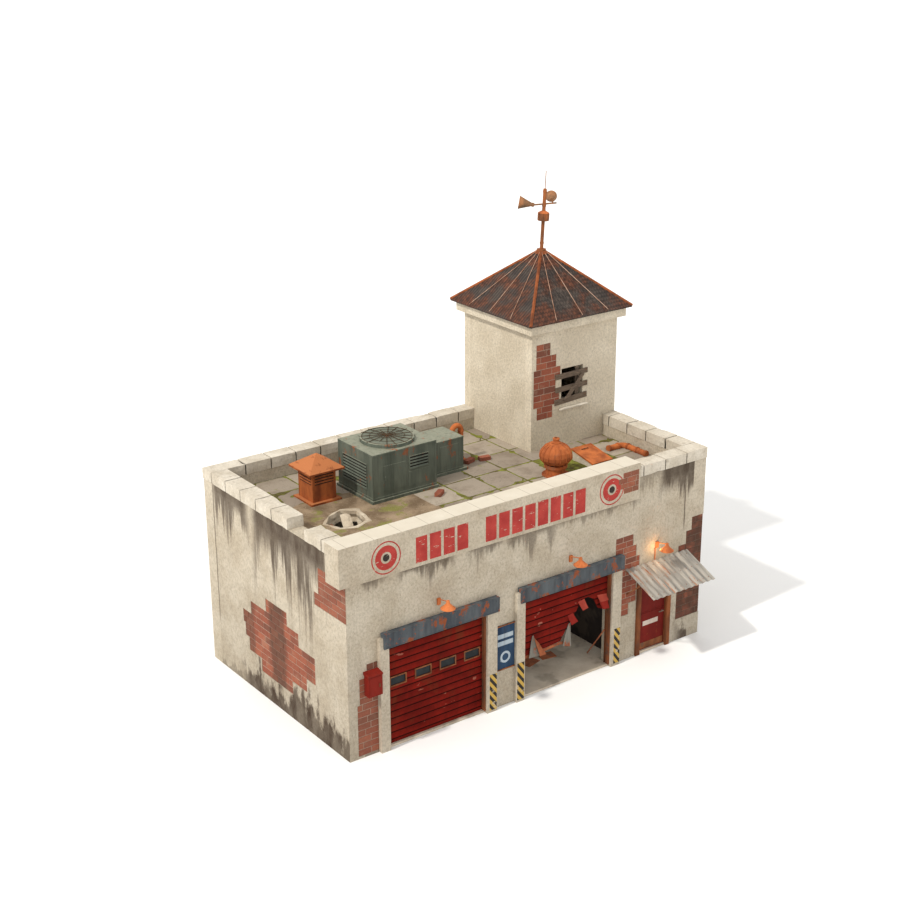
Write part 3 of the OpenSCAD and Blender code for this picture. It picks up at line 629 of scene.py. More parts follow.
class Shape:
    """Collects points and faces, then makes one joined mesh piece."""

    def __init__(self):
        self.points, self.faces, self.marks = [], [], []

    def add(self, points, faces, mark=0):
        start = len(self.points)
        self.points += [Vector(p) for p in points]
        self.faces += [[start + i for i in face] for face in faces]
        self.marks += [mark] * len(faces)

    def block(self, low, high, cut=0.0, mark=0, turn=None, wall=None):
        """Box between two corners with cut edges; wall maps its points onto a wall."""
        low, high = Vector(low), Vector(high)
        middle, half = (low + high) / 2, (high - low) / 2
        cut = min(cut, 0.45 * min(half))
        signs = [(a, b, c) for a in (-1, 1) for b in (-1, 1) for c in (-1, 1)]
        points, index = [], {}
        for sign in signs:
            for axis in range(3):
                size = [half[k] - (0 if k == axis else cut) for k in range(3)]
                index[sign, axis] = len(points)
                points.append(middle + Vector([sign[k] * size[k] for k in range(3)]))
        faces = []
        for axis in range(3):
            others = [k for k in range(3) if k != axis]
            for side in (-1, 1):
                ring = []
                for first, second in ((-1, -1), (1, -1), (1, 1), (-1, 1)):
                    sign = [0, 0, 0]
                    sign[axis], sign[others[0]], sign[others[1]] = side, first, second
                    ring.append(index[tuple(sign), axis])
                faces.append(ring)
        if cut > 0:
            for axis in range(3):
                first, second = [k for k in range(3) if k != axis]
                for a in (-1, 1):
                    for b in (-1, 1):
                        ends = []
                        for end in (-1, 1):
                            sign = [0, 0, 0]
                            sign[axis], sign[first], sign[second] = end, a, b
                            ends.append(tuple(sign))
                        faces.append([index[ends[0], first], index[ends[1], first],
                                      index[ends[1], second], index[ends[0], second]])
            faces += [[index[sign, 0], index[sign, 1], index[sign, 2]] for sign in signs]
        if turn:
            points = [turn @ p for p in points]
        if wall:
            points = [wall(*p) for p in points]
        self.add(points, faces, mark)

    def loft(self, rings, mark=0, caps=True, closed=True):
        """Joins rings of equal point counts, each closed unless told otherwise."""
        count = len(rings[0])
        faces = []
        for r in range(len(rings) - 1):
            for i in range(count if closed else count - 1):
                j = (i + 1) % count
                faces.append([r * count + i, r * count + j, (r + 1) * count + j, (r + 1) * count + i])
        if caps:
            faces.append(list(range(count)))
            faces.append([(len(rings) - 1) * count + i for i in range(count)])
        self.add([p for ring in rings for p in ring], faces, mark)

    def rod(self, path, radius, sides=8, mark=0):
        """Round bar along a path of points."""
        path = [Vector(p) for p in path]
        rings = []
        for i, p in enumerate(path):
            ahead = path[min(i + 1, len(path) - 1)] - path[max(i - 1, 0)]
            ahead.normalize()
            other = Vector((0, 0, 1)) if abs(ahead.z) < 0.9 else Vector((1, 0, 0))
            side = ahead.cross(other).normalized()
            over = side.cross(ahead)
            rings.append([p + (side * math.cos(t) + over * math.sin(t)) * radius
                          for t in (2 * math.pi * k / sides for k in range(sides))])
        self.loft(rings, mark)

    def spin(self, profile, centre, sides=32, mark=0, turn=None):
        """Turns a profile of (radius, height) about the vertical through centre."""
        turn = turn or Matrix.Identity(3)
        rings = [[Vector(centre) + turn @ Vector((r * math.cos(t), r * math.sin(t), h))
                  for t in (2 * math.pi * k / sides for k in range(sides))] for r, h in profile]
        self.loft(rings, mark)

    def build(self, name, looks, slot, body="station", smooth=0.0, solid=True):
        mesh = bpy.data.meshes.new(name)
        mesh.from_pydata(self.points, [], self.faces)
        for look in looks:
            mesh.materials.append(look)
        for polygon, mark in zip(mesh.polygons, self.marks):
            polygon.material_index = mark
        if solid:
            work = bmesh.new()
            work.from_mesh(mesh)
            bmesh.ops.recalc_face_normals(work, faces=work.faces)
            work.to_mesh(mesh)
            work.free()
        if smooth:
            for polygon in mesh.polygons:
                polygon.use_smooth = True
            mesh.set_sharp_from_angle(angle=math.radians(smooth))
        piece = bpy.data.objects.new(name, mesh)
        bpy.context.collection.objects.link(piece)
        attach(piece, body)
        return piece


def facing_front(y):
    """Gives the map from (along, up, out) to the site for a wall at this y that faces front."""
    return lambda u, v, out: at(u, y - out, v)


def facing_back(y):
    return lambda u, v, out: at(u, y + out, v)


def facing_left(x):
    return lambda u, v, out: at(x - out, u, v)


def facing_right(x):
    return lambda u, v, out: at(x + out, u, v)


front, back, left, right = facing_front(0.0), facing_back(DEPTH), facing_left(0.0), facing_right(WIDTH)
tower_front, band_front = facing_front(TOWER_Y), facing_front(-0.15)


# ---------------------------------------------------------------- brickwork

PATCH_DEPTH = 0.030
BRICK_LENGTH = 0.49
MORTAR_JOINT = 0.013


def brick_patch(name, wall, courses, z, step, looks):
    """Bricks in stretcher bond inside a stepped recess; two brick rows to a course."""
    shape = Shape()
    row_height = step / 2
    for i, (low, high) in enumerate(courses):
        shape.block((low, z + i * step, -PATCH_DEPTH + 0.001), (high, z + (i + 1) * step, -0.019), mark=1,
                    wall=wall)
        for row in range(2):
            v = z + i * step + row * row_height
            start = low - random.uniform(0.1, 0.3) if row else low
            u = start
            while u < high - 0.001:
                begin, end = max(u, low), min(u + BRICK_LENGTH, high)
                if high - end < 0.12:
                    end = high
                if end - begin > 0.05:
                    out = -0.007 + random.uniform(-0.004, 0.003)
                    shape.block((begin + MORTAR_JOINT, v + MORTAR_JOINT, -PATCH_DEPTH + 0.002),
                                (end - MORTAR_JOINT, v + row_height - MORTAR_JOINT, out), 0.006, wall=wall)
                u = end if end == high else u + BRICK_LENGTH
    return shape.build(name, looks, "brick")


def make_brickwork():
    clean = [brick_look("brick"), mortar_look()]
    bands = [(5.75, 6.7, 0.5), (3.75, 4.75, 0.62), (2.0, 2.5, 0.25)]
    streaked = [brick_look("brick_streaked", 0.1, GRIME, bands),
                mortar_look("mortar_streaked", 0.05, bands)]
    dusty = [brick_look("brick_dusty", 0.35, tint(110, 78, 62)), mortar_look("mortar_dusty", 0.2)]
    sooty = [brick_look("brick_sooty", 0.95, tint(74, 50, 38)), mortar_look("mortar_sooty", 0.75)]
    brick_patch("bricks_front_low", front, [(0.33, 1.11)] * 4 + [(0.42, 1.11)] * 2 + [(0.70, 1.11)], 0.08,
                0.45, dusty)
    brick_patch("bricks_by_entry", front, [(11.18, 11.56), (11.18, 11.90), (11.18, 11.90), (11.18, 12.01),
                                           (11.18, 12.01), (10.89, 11.85), (10.89, 11.69)], 1.73, 0.43,
                clean)
    brick_patch("bricks_front_corner", front, [(13.85, 14.99)] * 6 + [(14.20, 14.99), (14.45, 14.99)], 0.83,
                0.48, sooty)
    brick_patch("bricks_left", left, [(3.37, 5.39), (2.47, 6.17), (1.92, 6.39), (1.92, 6.50), (2.89, 5.95),
                                      (3.59, 4.94)], 0.90, 0.48, streaked)
    brick_patch("bricks_left_upper", left, [(0.01, 1.82), (0.01, 1.56), (0.01, 1.56)], 4.78, 0.45, dusty)
    brick_patch("bricks_right", right, [(0.03, 0.90), (0.03, 1.35), (0.03, 0.90)], 2.27, 0.48, dusty)
    brick_patch("bricks_back", back, [(3.2, 5.6), (2.6, 6.3), (2.2, 6.3), (2.7, 5.5)], 1.30, 0.48, clean)
    brick_patch("bricks_tower", tower_front,
                [(11.29, 12.02), (11.13, 12.33), (11.13, 12.15), (11.13, 12.36), (11.24, 12.16),
                 (11.24, 11.88)], 7.55, 0.47, clean)


# ---------------------------------------------------------------- coping


def rough_block(shape, low, high, cell=0.16, chip=0.05):
    """Stone block of small faces whose edges are worn and chipped."""
    low, high = Vector(low), Vector(high)
    size = high - low
    counts = [max(2, round(size[k] / cell)) for k in range(3)]
    index, points, faces = {}, [], []

    def corner(i, j, k):
        key = (i, j, k)
        if key not in index:
            p = Vector([low[a] + size[a] * key[a] / counts[a] for a in range(3)])
            rims = [a for a in range(3) if key[a] in (0, counts[a])]
            if len(rims) > 1:
                wear = 0.006 + chip * max(0.0, noise.noise(p * 2.6) - 0.22)
                for a in rims:
                    p[a] += wear if key[a] == 0 else -wear
            index[key] = len(points)
            points.append(p)
        return index[key]

    for axis in range(3):
        a, b = [k for k in range(3) if k != axis]
        for side in (0, counts[axis]):
            for i in range(counts[a]):
                for j in range(counts[b]):
                    ring = []
                    for di, dj in ((0, 0), (1, 0), (1, 1), (0, 1)):
                        key = [0, 0, 0]
                        key[axis], key[a], key[b] = side, i + di, j + dj
                        ring.append(corner(*key))
                    faces.append(ring)
    shape.add(points, faces)


def coping_row(node, along, first, length=1.0, gap=0.034, missing=-1):
    """Loose coping blocks that stand for a CAD row, laid out from the row's own box."""
    low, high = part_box(node)
    axis = "xyz".index(along)
    shape = Shape()
    count = math.ceil((high[axis] - low[axis] - first) / length)
    for i in range(count + 1):
        if i == missing:
            continue
        begin = low[axis] if i == 0 else low[axis] + first + (i - 1) * length + gap / 2
        end = min(high[axis], low[axis] + first + i * length - gap / 2)
        if end - begin < 0.05:
            continue
        block_low, block_high = low.copy(), high.copy()
        block_low[axis], block_high[axis] = begin, end
        block_high.z -= random.uniform(0.0, 0.012)
        rough_block(shape, block_low, block_high)
        if end + gap + 0.05 < high[axis] and missing != i + 1:
            # painted shade: a dark block down in each joint between the blocks
            fill_low, fill_high = low + Vector((0.03, 0.03, 0.01)), high - Vector((0.03, 0.03, 0.05))
            fill_low[axis], fill_high[axis] = end - 0.006, end + gap + 0.006
            shape.block(fill_low, fill_high, 0.0, 1)
    piece = shape.build(node + "_blocks", [LOOKS["coping"], LOOKS["gap"]], "coping_stone")
    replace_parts(piece, node)


def make_coping():
    coping_row("coping_left", "y", 0.59, missing=2)
    coping_row("coping_back", "x", 1.34)
    coping_row("coping_right", "y", 0.87)
    coping_row("coping_front", "x", 0.28)


# ---------------------------------------------------------------- roof deck

PAVER_X = [0.57, 1.5, 2.8, 4.1, 5.4, 6.7, 8.0, 9.3, 10.6, 11.9, 13.2, 14.43]
PAVER_Y = [0.63, 1.44, 2.82, 4.2, 5.58, 6.96, 8.23]
PAVER_TOP = 0.028
BREAK = [(1.68, 3.78), (2.10, 4.23), (2.70, 4.48), (3.15, 4.14), (3.06, 3.62), (2.97, 3.22), (2.40, 3.01),
         (1.90, 3.19)]


def inside(x, y, outline):
    """True when a point is inside an outline."""
    crossings = False
    for (x0, y0), (x1, y1) in zip(outline, outline[1:] + outline[:1]):
        if (y0 > y) != (y1 > y) and x < (x1 - x0) * (y - y0) / (y1 - y0) + x0:
            crossings = not crossings
    return crossings


def make_roof_deck():
    hatch_low, hatch_high = (site(p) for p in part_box("hatch_kerb"))
    pavers, bed = Shape(), Shape()
    for i in range(len(PAVER_X) - 1):
        for j in range(len(PAVER_Y) - 1):
            x0, x1, y0, y1 = PAVER_X[i], PAVER_X[i + 1], PAVER_Y[j], PAVER_Y[j + 1]
            if x1 < 5.5 and y1 < 5.7:
                continue
            if x0 > 11.2 and y0 > 5.0:
                continue
            if x0 < hatch_high.x and x1 > hatch_low.x and y0 < hatch_high.y and y1 > hatch_low.y:
                continue
            gap = random.uniform(0.026, 0.038)
            tilt = random.uniform(-0.004, 0.004)
            rough_block(pavers, at(x0 + gap, y0 + gap, ROOF_Z + 0.001),
                        at(x1 - gap, y1 - gap, ROOF_Z + PAVER_TOP + tilt), 0.22, 0.018)
    pavers.build("roof_pavers", [LOOKS["paver"]], "roofing")
    cell = 0.12
    columns, rows = round(13.8 / cell), round(7.56 / cell)
    heights = {}
    for i in range(columns + 1):
        for j in range(rows + 1):
            x, y = 0.6 + i * cell, 0.66 + j * cell
            lump = noise.noise(Vector((x * 1.3, y * 1.3, 0.0)))
            lump += 0.5 * noise.noise(Vector((x * 4.0, y * 4.0, 3.0)))
            heights[i, j] = at(x, y, ROOF_Z + 0.017 + 0.011 * lump)
    points = [heights[key] for key in sorted(heights)]
    faces, marks = [], []
    for i in range(columns):
        for j in range(rows):
            x, y = 0.6 + (i + 0.5) * cell, 0.66 + (j + 0.5) * cell
            if inside(x, y, BREAK) or x > 11.1 and y > 4.9:
                continue
            a = i * (rows + 1) + j
            faces.append([a, a + rows + 1, a + rows + 2, a + 1])
            marks.append(1 if x < 5.5 and y < 5.7 else 0)
    bed.points, bed.faces, bed.marks = points, faces, marks
    bed.build("roof_bed", [LOOKS["moss"], LOOKS["soil"]], "roofing", solid=False, smooth=60)


def make_roof_break():
    """Ragged concrete edge round the hole, and slab pieces that hang in it."""
    shape = Shape()
    outline = []
    for (x0, y0), (x1, y1) in zip(BREAK, BREAK[1:] + BREAK[:1]):
        steps = max(2, round(math.hypot(x1 - x0, y1 - y0) / 0.09))
        outline += [(x0 + (x1 - x0) * s / steps, y0 + (y1 - y0) * s / steps) for s in range(steps)]
    middle = (2.42, 3.72)
    slab_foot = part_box("roof_slab")[0].z
    levels = [(ROOF_Z + 0.012, -0.16), (ROOF_Z + 0.036, -0.10), (ROOF_Z + 0.03, 0.06),
              (ROOF_Z - 0.08, 0.10), (ROOF_Z - 0.2, 0.05), (slab_foot + 0.01, 0.12),
              (slab_foot - 0.01, 0.0)]
    rings = []
    for z, reach in levels:
        ring = []
        for x, y in outline:
            rough = 0.5 + noise.noise(Vector((x * 3.1, y * 3.1, z * 4.0)))
            part = reach * (0.3 + rough)
            ring.append(at(x + (middle[0] - x) * part, y + (middle[1] - y) * part, z))
        rings.append(ring)
    shape.loft(rings, caps=False)
    for x, y, size, turn, tilt in ((2.56, 3.86, (0.34, 0.60, 0.10), -20, (24, -6)),
                                   (2.84, 3.30, (0.36, 0.26, 0.09), -40, (-26, 12))):
        matrix = Matrix.Translation(at(x, y, ROOF_Z - 0.12)) @ Matrix.Rotation(math.radians(turn), 4, "Z") \
            @ Matrix.Rotation(math.radians(tilt[0]), 4, "X") @ Matrix.Rotation(math.radians(tilt[1]), 4, "Y")
        piece = Shape()
        rough_block(piece, (-size[0] / 2, -size[1] / 2, -size[2] / 2),
                    (size[0] / 2, size[1] / 2, size[2] / 2), 0.1, 0.2)
        shape.add([matrix @ p for p in piece.points], piece.faces)
    for k in range(5):
        x, y = outline[(k * 13 + 4) % len(outline)]
        start = at(x, y, ROOF_Z - 0.17)
        inward = Vector((middle[0] - x, middle[1] - y, 0)).normalized()
        shape.rod([start - inward * 0.05, start + inward * 0.14,
                   start + inward * 0.26 - Vector((0, 0, 0.05 + 0.02 * k))], 0.008, 6, 1)
    shape.build("broken_slab_edge", [LOOKS["broken"], LOOKS["rust"]], "roofing")


# ---------------------------------------------------------------- shutters and bays


def make_shutter_details():
    """Thin rusty frames round the panes."""
    low, high = (site(p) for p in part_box("shutter_windows"))
    face = site(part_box("shutter_left")[0]).y
    wall = facing_front(face + 0.006)
    trim = Shape()
    pane, bar = 0.56, 0.045
    for k in range(4):
        x0, x1, z0, z1 = low.x + 0.97 * k, low.x + 0.97 * k + pane, low.z, high.z
        trim.block((x0 - bar, z0 - bar, 0.0), (x1 + bar, z0, 0.026), 0.006, wall=wall)
        trim.block((x0 - bar, z1, 0.0), (x1 + bar, z1 + bar, 0.026), 0.006, wall=wall)
        trim.block((x0 - bar, z0, 0.0), (x0, z1, 0.026), 0.006, wall=wall)
        trim.block((x1, z0, 0.0), (x1 + bar, z1, 0.026), 0.006, wall=wall)
    trim.build("shutter_window_trim", [LOOKS["rust_trim"]], "rusty_steel")


def curl(shape, corners, out, bend, mark=0, steps=6, thickness=0.006):
    """Torn sheet between four (x, z) corners that bends out of the curtain as it falls."""
    y = site(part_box("shutter_right")[0]).y
    (x0, z0), (x1, z1), (x2, z2), (x3, z3) = corners
    rings = []
    for s in range(steps + 1):
        t = s / steps
        reach = out + bend * math.sin(t * math.pi / 2) * t
        a = Vector((x0 + (x3 - x0) * t, y - reach, z0 + (z3 - z0) * t))
        b = Vector((x1 + (x2 - x1) * t, y - reach * 0.8, z1 + (z2 - z1) * t))
        rings.append([at(*a), at(*b), at(b.x, b.y + thickness, b.z), at(a.x, a.y + thickness, a.z)])
    shape.loft(rings, mark)


def make_torn_shutter():
    """Bent red flaps, grey strips and the broken bottom rail of the right shutter."""
    red, grey = Shape(), Shape()
    curl(red, [(9.32, 2.82), (9.60, 2.86), (9.72, 2.52), (9.46, 2.49)], 0.01, 0.10, 1)
    curl(red, [(8.86, 2.44), (9.10, 2.48), (9.26, 2.15), (8.96, 2.10)], 0.01, 0.12)
    curl(red, [(10.16, 2.84), (10.60, 2.78), (10.62, 2.56), (10.22, 2.60)], 0.02, 0.12, 1)
    curl(red, [(10.20, 2.64), (10.60, 2.60), (10.62, 2.27), (10.30, 2.33)], 0.09, 0.10)
    red.build("shutter_torn_flaps", [LOOKS["flap_red"], LOOKS["flap_light"]], "red_paint")
    curl(grey, [(7.32, 2.15), (7.38, 2.16), (7.62, 1.36), (7.14, 1.40)], 0.03, 0.07, 0)
    curl(grey, [(7.40, 2.06), (7.60, 1.82), (7.86, 1.36), (7.56, 1.38)], 0.05, 0.12, 1)
    curl(grey, [(8.90, 2.12), (8.99, 2.16), (9.02, 1.26), (8.62, 1.40)], 0.02, 0.05, 0)
    for x0, x1, z0, z1 in ((6.90, 7.75, 1.43, 1.45), (7.75, 8.55, 1.45, 1.505), (8.52, 8.96, 1.505, 1.41)):
        curl(grey, [(x0, z0 + 0.05), (x1, z1 + 0.05), (x1, z1 - 0.04), (x0, z0 - 0.04)], 0.008, 0.02, 1)
    grey.build("shutter_torn_backs", [LOOKS["zinc_strip"], LOOKS["rust_strip"]], "rusty_steel")


def make_pier_paint():
    """Hazard bars painted on the inner faces of three piers."""
    shape = Shape()
    for x0, x1, z0, z1 in ((5.38, 5.67, 0.08, 1.40), (6.53, 6.82, 0.08, 1.46), (10.80, 11.07, 0.10, 1.44)):
        shape.block((x0, z0, 0.0), (x1, z1, 0.003), 0.001, wall=band_front)
    shape.build("hazard_bars", [LOOKS["hazard"]], "plaster")


def make_lintel_details():
    """Top and bottom flanges and bolt heads on the two lintel beams."""
    shape = Shape()
    low, high = (site(p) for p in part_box("door_lintels"))
    for start in (1.24, 6.64):
        end = start + 4.5
        for edge in (low.z, high.z - 0.03):
            shape.block((start, edge, 0.0), (end, edge + 0.03, 0.012), 0.004, wall=facing_front(low.y))
        for u in (start + 0.12, end - 0.12):
            for v in (low.z + 0.12, high.z - 0.12):
                shape.spin([(0.0, -0.012), (0.03, -0.012), (0.03, 0.008), (0.02, 0.016), (0.0, 0.016)],
                           at(u, low.y, v), 10, turn=Matrix.Rotation(math.pi / 2, 3, "X"))
    shape.build("lintel_flanges", [LOOKS["blue_steel"]], "blue_steel", smooth=40)


# ---------------------------------------------------------------- painted signs


def disc(shape, centre, inner, outer, wall, out, mark=0, sides=40, low_angle=0.0, high_angle=2 * math.pi):
    """Flat ring of paint with a little thickness."""
    rings = []
    for k in range(sides + 1):
        t = low_angle + (high_angle - low_angle) * k / sides
        c, s = math.cos(t), math.sin(t)
        rings.append([wall(centre[0] + inner * c, centre[1] + inner * s, 0.0),
                      wall(centre[0] + outer * c, centre[1] + outer * s, 0.0),
                      wall(centre[0] + outer * c, centre[1] + outer * s, out),
                      wall(centre[0] + inner * c, centre[1] + inner * s, out)])
    shape.loft(rings, mark, caps=False)


def make_band_paint():
    """Plain worn red blocks and plain roundels along the sign band."""
    shape = Shape()
    for start, end, count in ((2.51, 4.61, 4), (5.20, 9.43, 8)):
        pitch = (end - start) / count
        for k in range(count):
            u = start + k * pitch
            shape.block((u, 6.20, 0.0), (u + pitch - 0.10, 7.06, 0.003), 0.001, wall=band_front)
    for centre in ((1.41, 6.69), (10.49, 6.71)):
        disc(shape, centre, 0.50, 0.54, band_front, 0.003)
        disc(shape, centre, 0.19, 0.40, band_front, 0.003)
        disc(shape, centre, 0.002, 0.12, band_front, 0.004, 1)
    shape.build("band_paint", [LOOKS["sign_red"], LOOKS["sign_dark"]], "red_paint")
    bricks = Shape()
    height = 0.19
    for row, (low, high) in enumerate(((11.02, 11.69), (10.86, 11.69), (10.78, 11.69), (10.98, 11.69))):
        v = 6.42 + row * height
        u = low
        while u < high - 0.05:
            end = high if high - u < 0.42 else min(high, u + (0.40 if (row + round(u)) % 2 else 0.34))
            bricks.block((u + 0.006, v + 0.006, -0.004), (end - 0.006, v + height - 0.006, 0.006), 0.004,
                         wall=band_front)
            u = end
    bricks.build("band_bricks", [LOOKS["band_brick"]], "brick")


def make_banner():
    """Blank blue sheet with pale bars and a plain roundel, between rusty rails."""
    low, high = (site(p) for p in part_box("wall_banner"))
    wall = facing_front(-0.02)
    shape = Shape()
    shape.block((5.80, 2.50, 0.0), (6.44, 2.66, 0.003), 0.001, wall=wall)
    shape.block((5.80, 2.24, 0.0), (6.44, 2.40, 0.003), 0.001, wall=wall)
    disc(shape, (6.12, 1.80), 0.13, 0.21, wall, 0.003)
    shape.build("banner_marks", [LOOKS["banner_pale"]], "banner_cloth")
    rails = Shape()
    for v in (low.z, high.z - 0.04):
        rails.block((low.x - 0.005, v - 0.002, 0.0), (high.x + 0.005, v + 0.042, 0.026), 0.006, wall=wall)
        for u in (low.x + 0.06, high.x - 0.06):
            rails.rod([wall(u, v + 0.02, 0.02), wall(u, v + 0.02, 0.04)], 0.014, 8)
    rails.build("banner_rails", [LOOKS["rust_trim"]], "rusty_steel")


# ---------------------------------------------------------------- entry


def make_entry_details():
    """Beading, label plate, kick plate and hinge knuckles on the door, and trim on its frame."""
    low, high = (site(p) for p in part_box("entry_door"))
    wall = facing_front(low.y)
    frame_wall = facing_front(-0.06)
    panel = Shape()
    panel.block((low.x + 0.05, low.z + 1.44, 0.0), (high.x - 0.05, low.z + 1.47, 0.008), 0.003, wall=wall)
    panel.block((low.x + 0.05, high.z - 0.10, 0.0), (high.x - 0.05, high.z - 0.07, 0.008), 0.003, wall=wall)
    for u in (low.x + 0.05, high.x - 0.08):
        panel.block((u, low.z + 0.30, 0.0), (u + 0.03, high.z - 0.07, 0.008), 0.003, wall=wall)
    panel.build("door_beading", [LOOKS["door_red"]], "red_paint", "door")
    plates = Shape()
    plates.block((low.x + 0.20, low.z + 0.92, 0.0), (low.x + 0.92, low.z + 1.10, 0.006), 0.002, 0,
                 wall=wall)
    plates.block((low.x + 0.03, low.z + 0.03, 0.0), (high.x - 0.03, low.z + 0.27, 0.008), 0.003, 1,
                 wall=wall)
    for v in (low.z + 0.35, low.z + 1.2, high.z - 0.35):
        plates.rod([at(low.x - 0.002, low.y - 0.004, v), at(low.x - 0.002, low.y - 0.004, v + 0.12)], 0.011,
                   8, 1)
    plates.build("door_plates", [LOOKS["label"], LOOKS["rust_trim"]], "red_paint", "door")
    trim = Shape()
    for u in (11.92, 13.34):
        trim.block((u + 0.03, 0.0, 0.0), (u + 0.17, 2.62, 0.012), 0.005, wall=frame_wall)
    trim.block((12.12, 2.65, 0.0), (13.34, 2.79, 0.012), 0.005, wall=frame_wall)
    for u in (12.02, 13.44):
        for v in (0.3, 1.0, 1.7, 2.4):
            trim.rod([frame_wall(u, v, 0.008), frame_wall(u, v, 0.022)], 0.018, 8)
    trim.build("entry_frame_trim", [LOOKS["rust_frame"]], "rusty_steel", smooth=40)


def make_awning_details():
    """Three rows of screw heads across the sloping sheet."""
    fall, out = 0.61, 1.45
    shape = Shape()
    slope = math.atan2(fall, out)
    run = math.hypot(fall, out)
    up = Vector((0, -math.sin(slope), math.cos(slope)))
    for part in (0.12, 0.5, 0.9):
        for k in range(11):
            x = 11.35 + 2.9 * (k + 0.25) / 11
            base = Vector((x, -0.012 - math.cos(slope) * run * part,
                           3.49 - math.sin(slope) * run * part)) + up * 0.036
            shape.rod([at(*base), at(*(base + up * 0.008))], 0.016, 8)
    shape.build("awning_screws", [LOOKS["rust_trim"]], "rusty_steel", smooth=40)


def make_lamp_details():
    """Bulbs in the three shades, collars over them and the conduit of the lit lamp."""
    bulbs, fittings = Shape(), Shape()
    reach, rim = 0.52, 0.095
    profile = [(0.0, -0.06), (0.03, -0.054), (0.042, -0.03), (0.042, -0.005), (0.03, 0.03), (0.02, 0.06),
               (0.0, 0.06)]
    for i, (x, z) in enumerate(((3.44, 4.45), (8.86, 4.45), (12.78, 3.92))):
        bulbs.spin([(r, h + rim + 0.10) for r, h in profile], at(x, -reach, z), 16, 1 if i == 2 else 0)
        fittings.spin([(0.0, 0.24), (0.052, 0.24), (0.058, 0.255), (0.046, 0.275), (0.0, 0.285)],
                      at(x, -reach, z + rim), 16)
        fittings.spin([(0.224, -0.006), (0.238, -0.006), (0.242, 0.0), (0.238, 0.008), (0.224, 0.004)],
                      at(x, -reach, z + rim), 28)
        for dz in (0.075, 0.22):
            fittings.rod([at(x, -0.058, z + dz), at(x, -0.07, z + dz)], 0.014, 8)
    fittings.rod([at(12.70, -0.03, 3.96), at(12.70, -0.03, 3.47)], 0.018, 8)
    bulbs.build("lamp_bulbs", [LOOKS["bulb"], LOOKS["glow"]], "dark_glass", smooth=50)
    fittings.build("lamp_fittings", [LOOKS["rust_lamp"]], "rusty_steel", smooth=50)


def make_cabinet_details():
    """Raised door panel, pull and side panel of the cabinet on the wall."""
    shape = Shape()
    wall = facing_front(-0.26)
    shape.block((0.64, 2.24, 0.0), (1.07, 2.86, 0.012), 0.005, wall=wall)
    shape.block((0.98, 2.48, 0.012), (1.02, 2.60, 0.03), 0.006, 1, wall=wall)
    shape.block((-0.22, 2.24, 0.0), (-0.04, 2.86, 0.01), 0.004, wall=facing_left(0.60))
    shape.build("cabinet_panels", [LOOKS["cabinet_red"], LOOKS["rust_trim"]], "red_paint")


# ---------------------------------------------------------------- tower


def make_tower_roof():
    """Corrugated sheets, hip caps and radiating battens over the CAD pyramid."""
    low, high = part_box("tower_roof")
    middle = (low + high) / 2
    half = (high.x - low.x) / 2
    tip, eave, apex = 0.06, 11.235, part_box("tower_roof")[1].z
    pitch = 0.128
    samples = 6
    sheets = Shape()
    rise = apex - eave
    rows = [0.0, 0.34, 0.68, 1.0]
    for side in range(4):
        spin = Matrix.Rotation(math.pi / 2 * side, 3, "Z")
        normal = Vector((0, -rise, half - tip)).normalized()

        def spot(t, h, lift):
            reach = half - (half - tip) * h
            local = Vector((t, -reach, 0)) + normal * lift
            turned = spin @ local
            return Vector((middle.x + turned.x, middle.y + turned.y, eave + rise * h + turned.z))

        columns = round(2 * half / pitch * samples)
        for r in range(3):
            for c in range(columns):
                t0, t1 = (-half + 2 * half * (c + d) / columns for d in (0, 1))
                ends = []
                for t in (t0, t1):
                    top = min(rows[r + 1] + 0.03, (half - abs(t)) / (half - tip))
                    bottom = rows[r] if r else -0.012
                    wave = 0.011 * math.cos(2 * math.pi * t / pitch)
                    if top <= bottom:
                        ends.append(None)
                        continue
                    ends.append((spot(t, bottom, 0.022 + wave), spot(t, top, 0.012 + wave)))
                if ends[0] and ends[1]:
                    sheets.add([ends[0][0], ends[1][0], ends[1][1], ends[0][1]], [[0, 1, 2, 3]])
    sheets.build("tower_sheets", [LOOKS["roof_sheet"]], "roof_sheet", solid=False, smooth=60)
    caps, battens = Shape(), Shape()
    top = Vector((middle.x, middle.y, apex + 0.03))
    for side in range(4):
        spin = Matrix.Rotation(math.pi / 2 * side, 3, "Z")
        corner = spin @ Vector((-half - 0.01, -half - 0.01, 0))
        foot = Vector((middle.x + corner.x, middle.y + corner.y, eave + 0.01))
        crown = top + (spin @ Vector((-0.05, -0.05, 0)))
        along = (crown - foot).normalized()
        across = spin @ Vector((1, -1, 0)).normalized()
        over = across.cross(along).normalized()
        if over.z < 0:
            over = -over
        rings = []
        for k in range(9):
            p = foot.lerp(crown, k / 8)
            drop = 0.045
            rings.append([p + across * 0.055 - over * (drop - 0.035), p + over * 0.04,
                          p - across * 0.055 - over * (drop - 0.035), p - across * 0.05 - over * drop,
                          p + over * 0.012, p + across * 0.05 - over * drop])
        caps.loft(rings)
        for shift in (-1.2, 0.0, 1.2):
            local = spin @ Vector((shift, -half - 0.005, 0))
            begin = Vector((middle.x + local.x, middle.y + local.y, eave + 0.045))
            local = spin @ Vector((shift * 0.05, -tip - 0.02, 0))
            finish = Vector((middle.x + local.x, middle.y + local.y, apex + 0.045))
            battens.rod([begin.lerp(finish, k / 6) for k in range(7)], 0.012, 6)
    caps.spin([(0.0, 0.07), (0.12, 0.07), (0.15, 0.04), (0.20, -0.02), (0.24, -0.09), (0.22, -0.10),
               (0.0, -0.06)], Vector((middle.x, middle.y, apex)), 16)
    caps.build("tower_hip_caps", [LOOKS["rust_cap"]], "rusty_steel", smooth=35)
    battens.build("tower_battens", [LOOKS["batten"]], "rusty_steel", smooth=50)


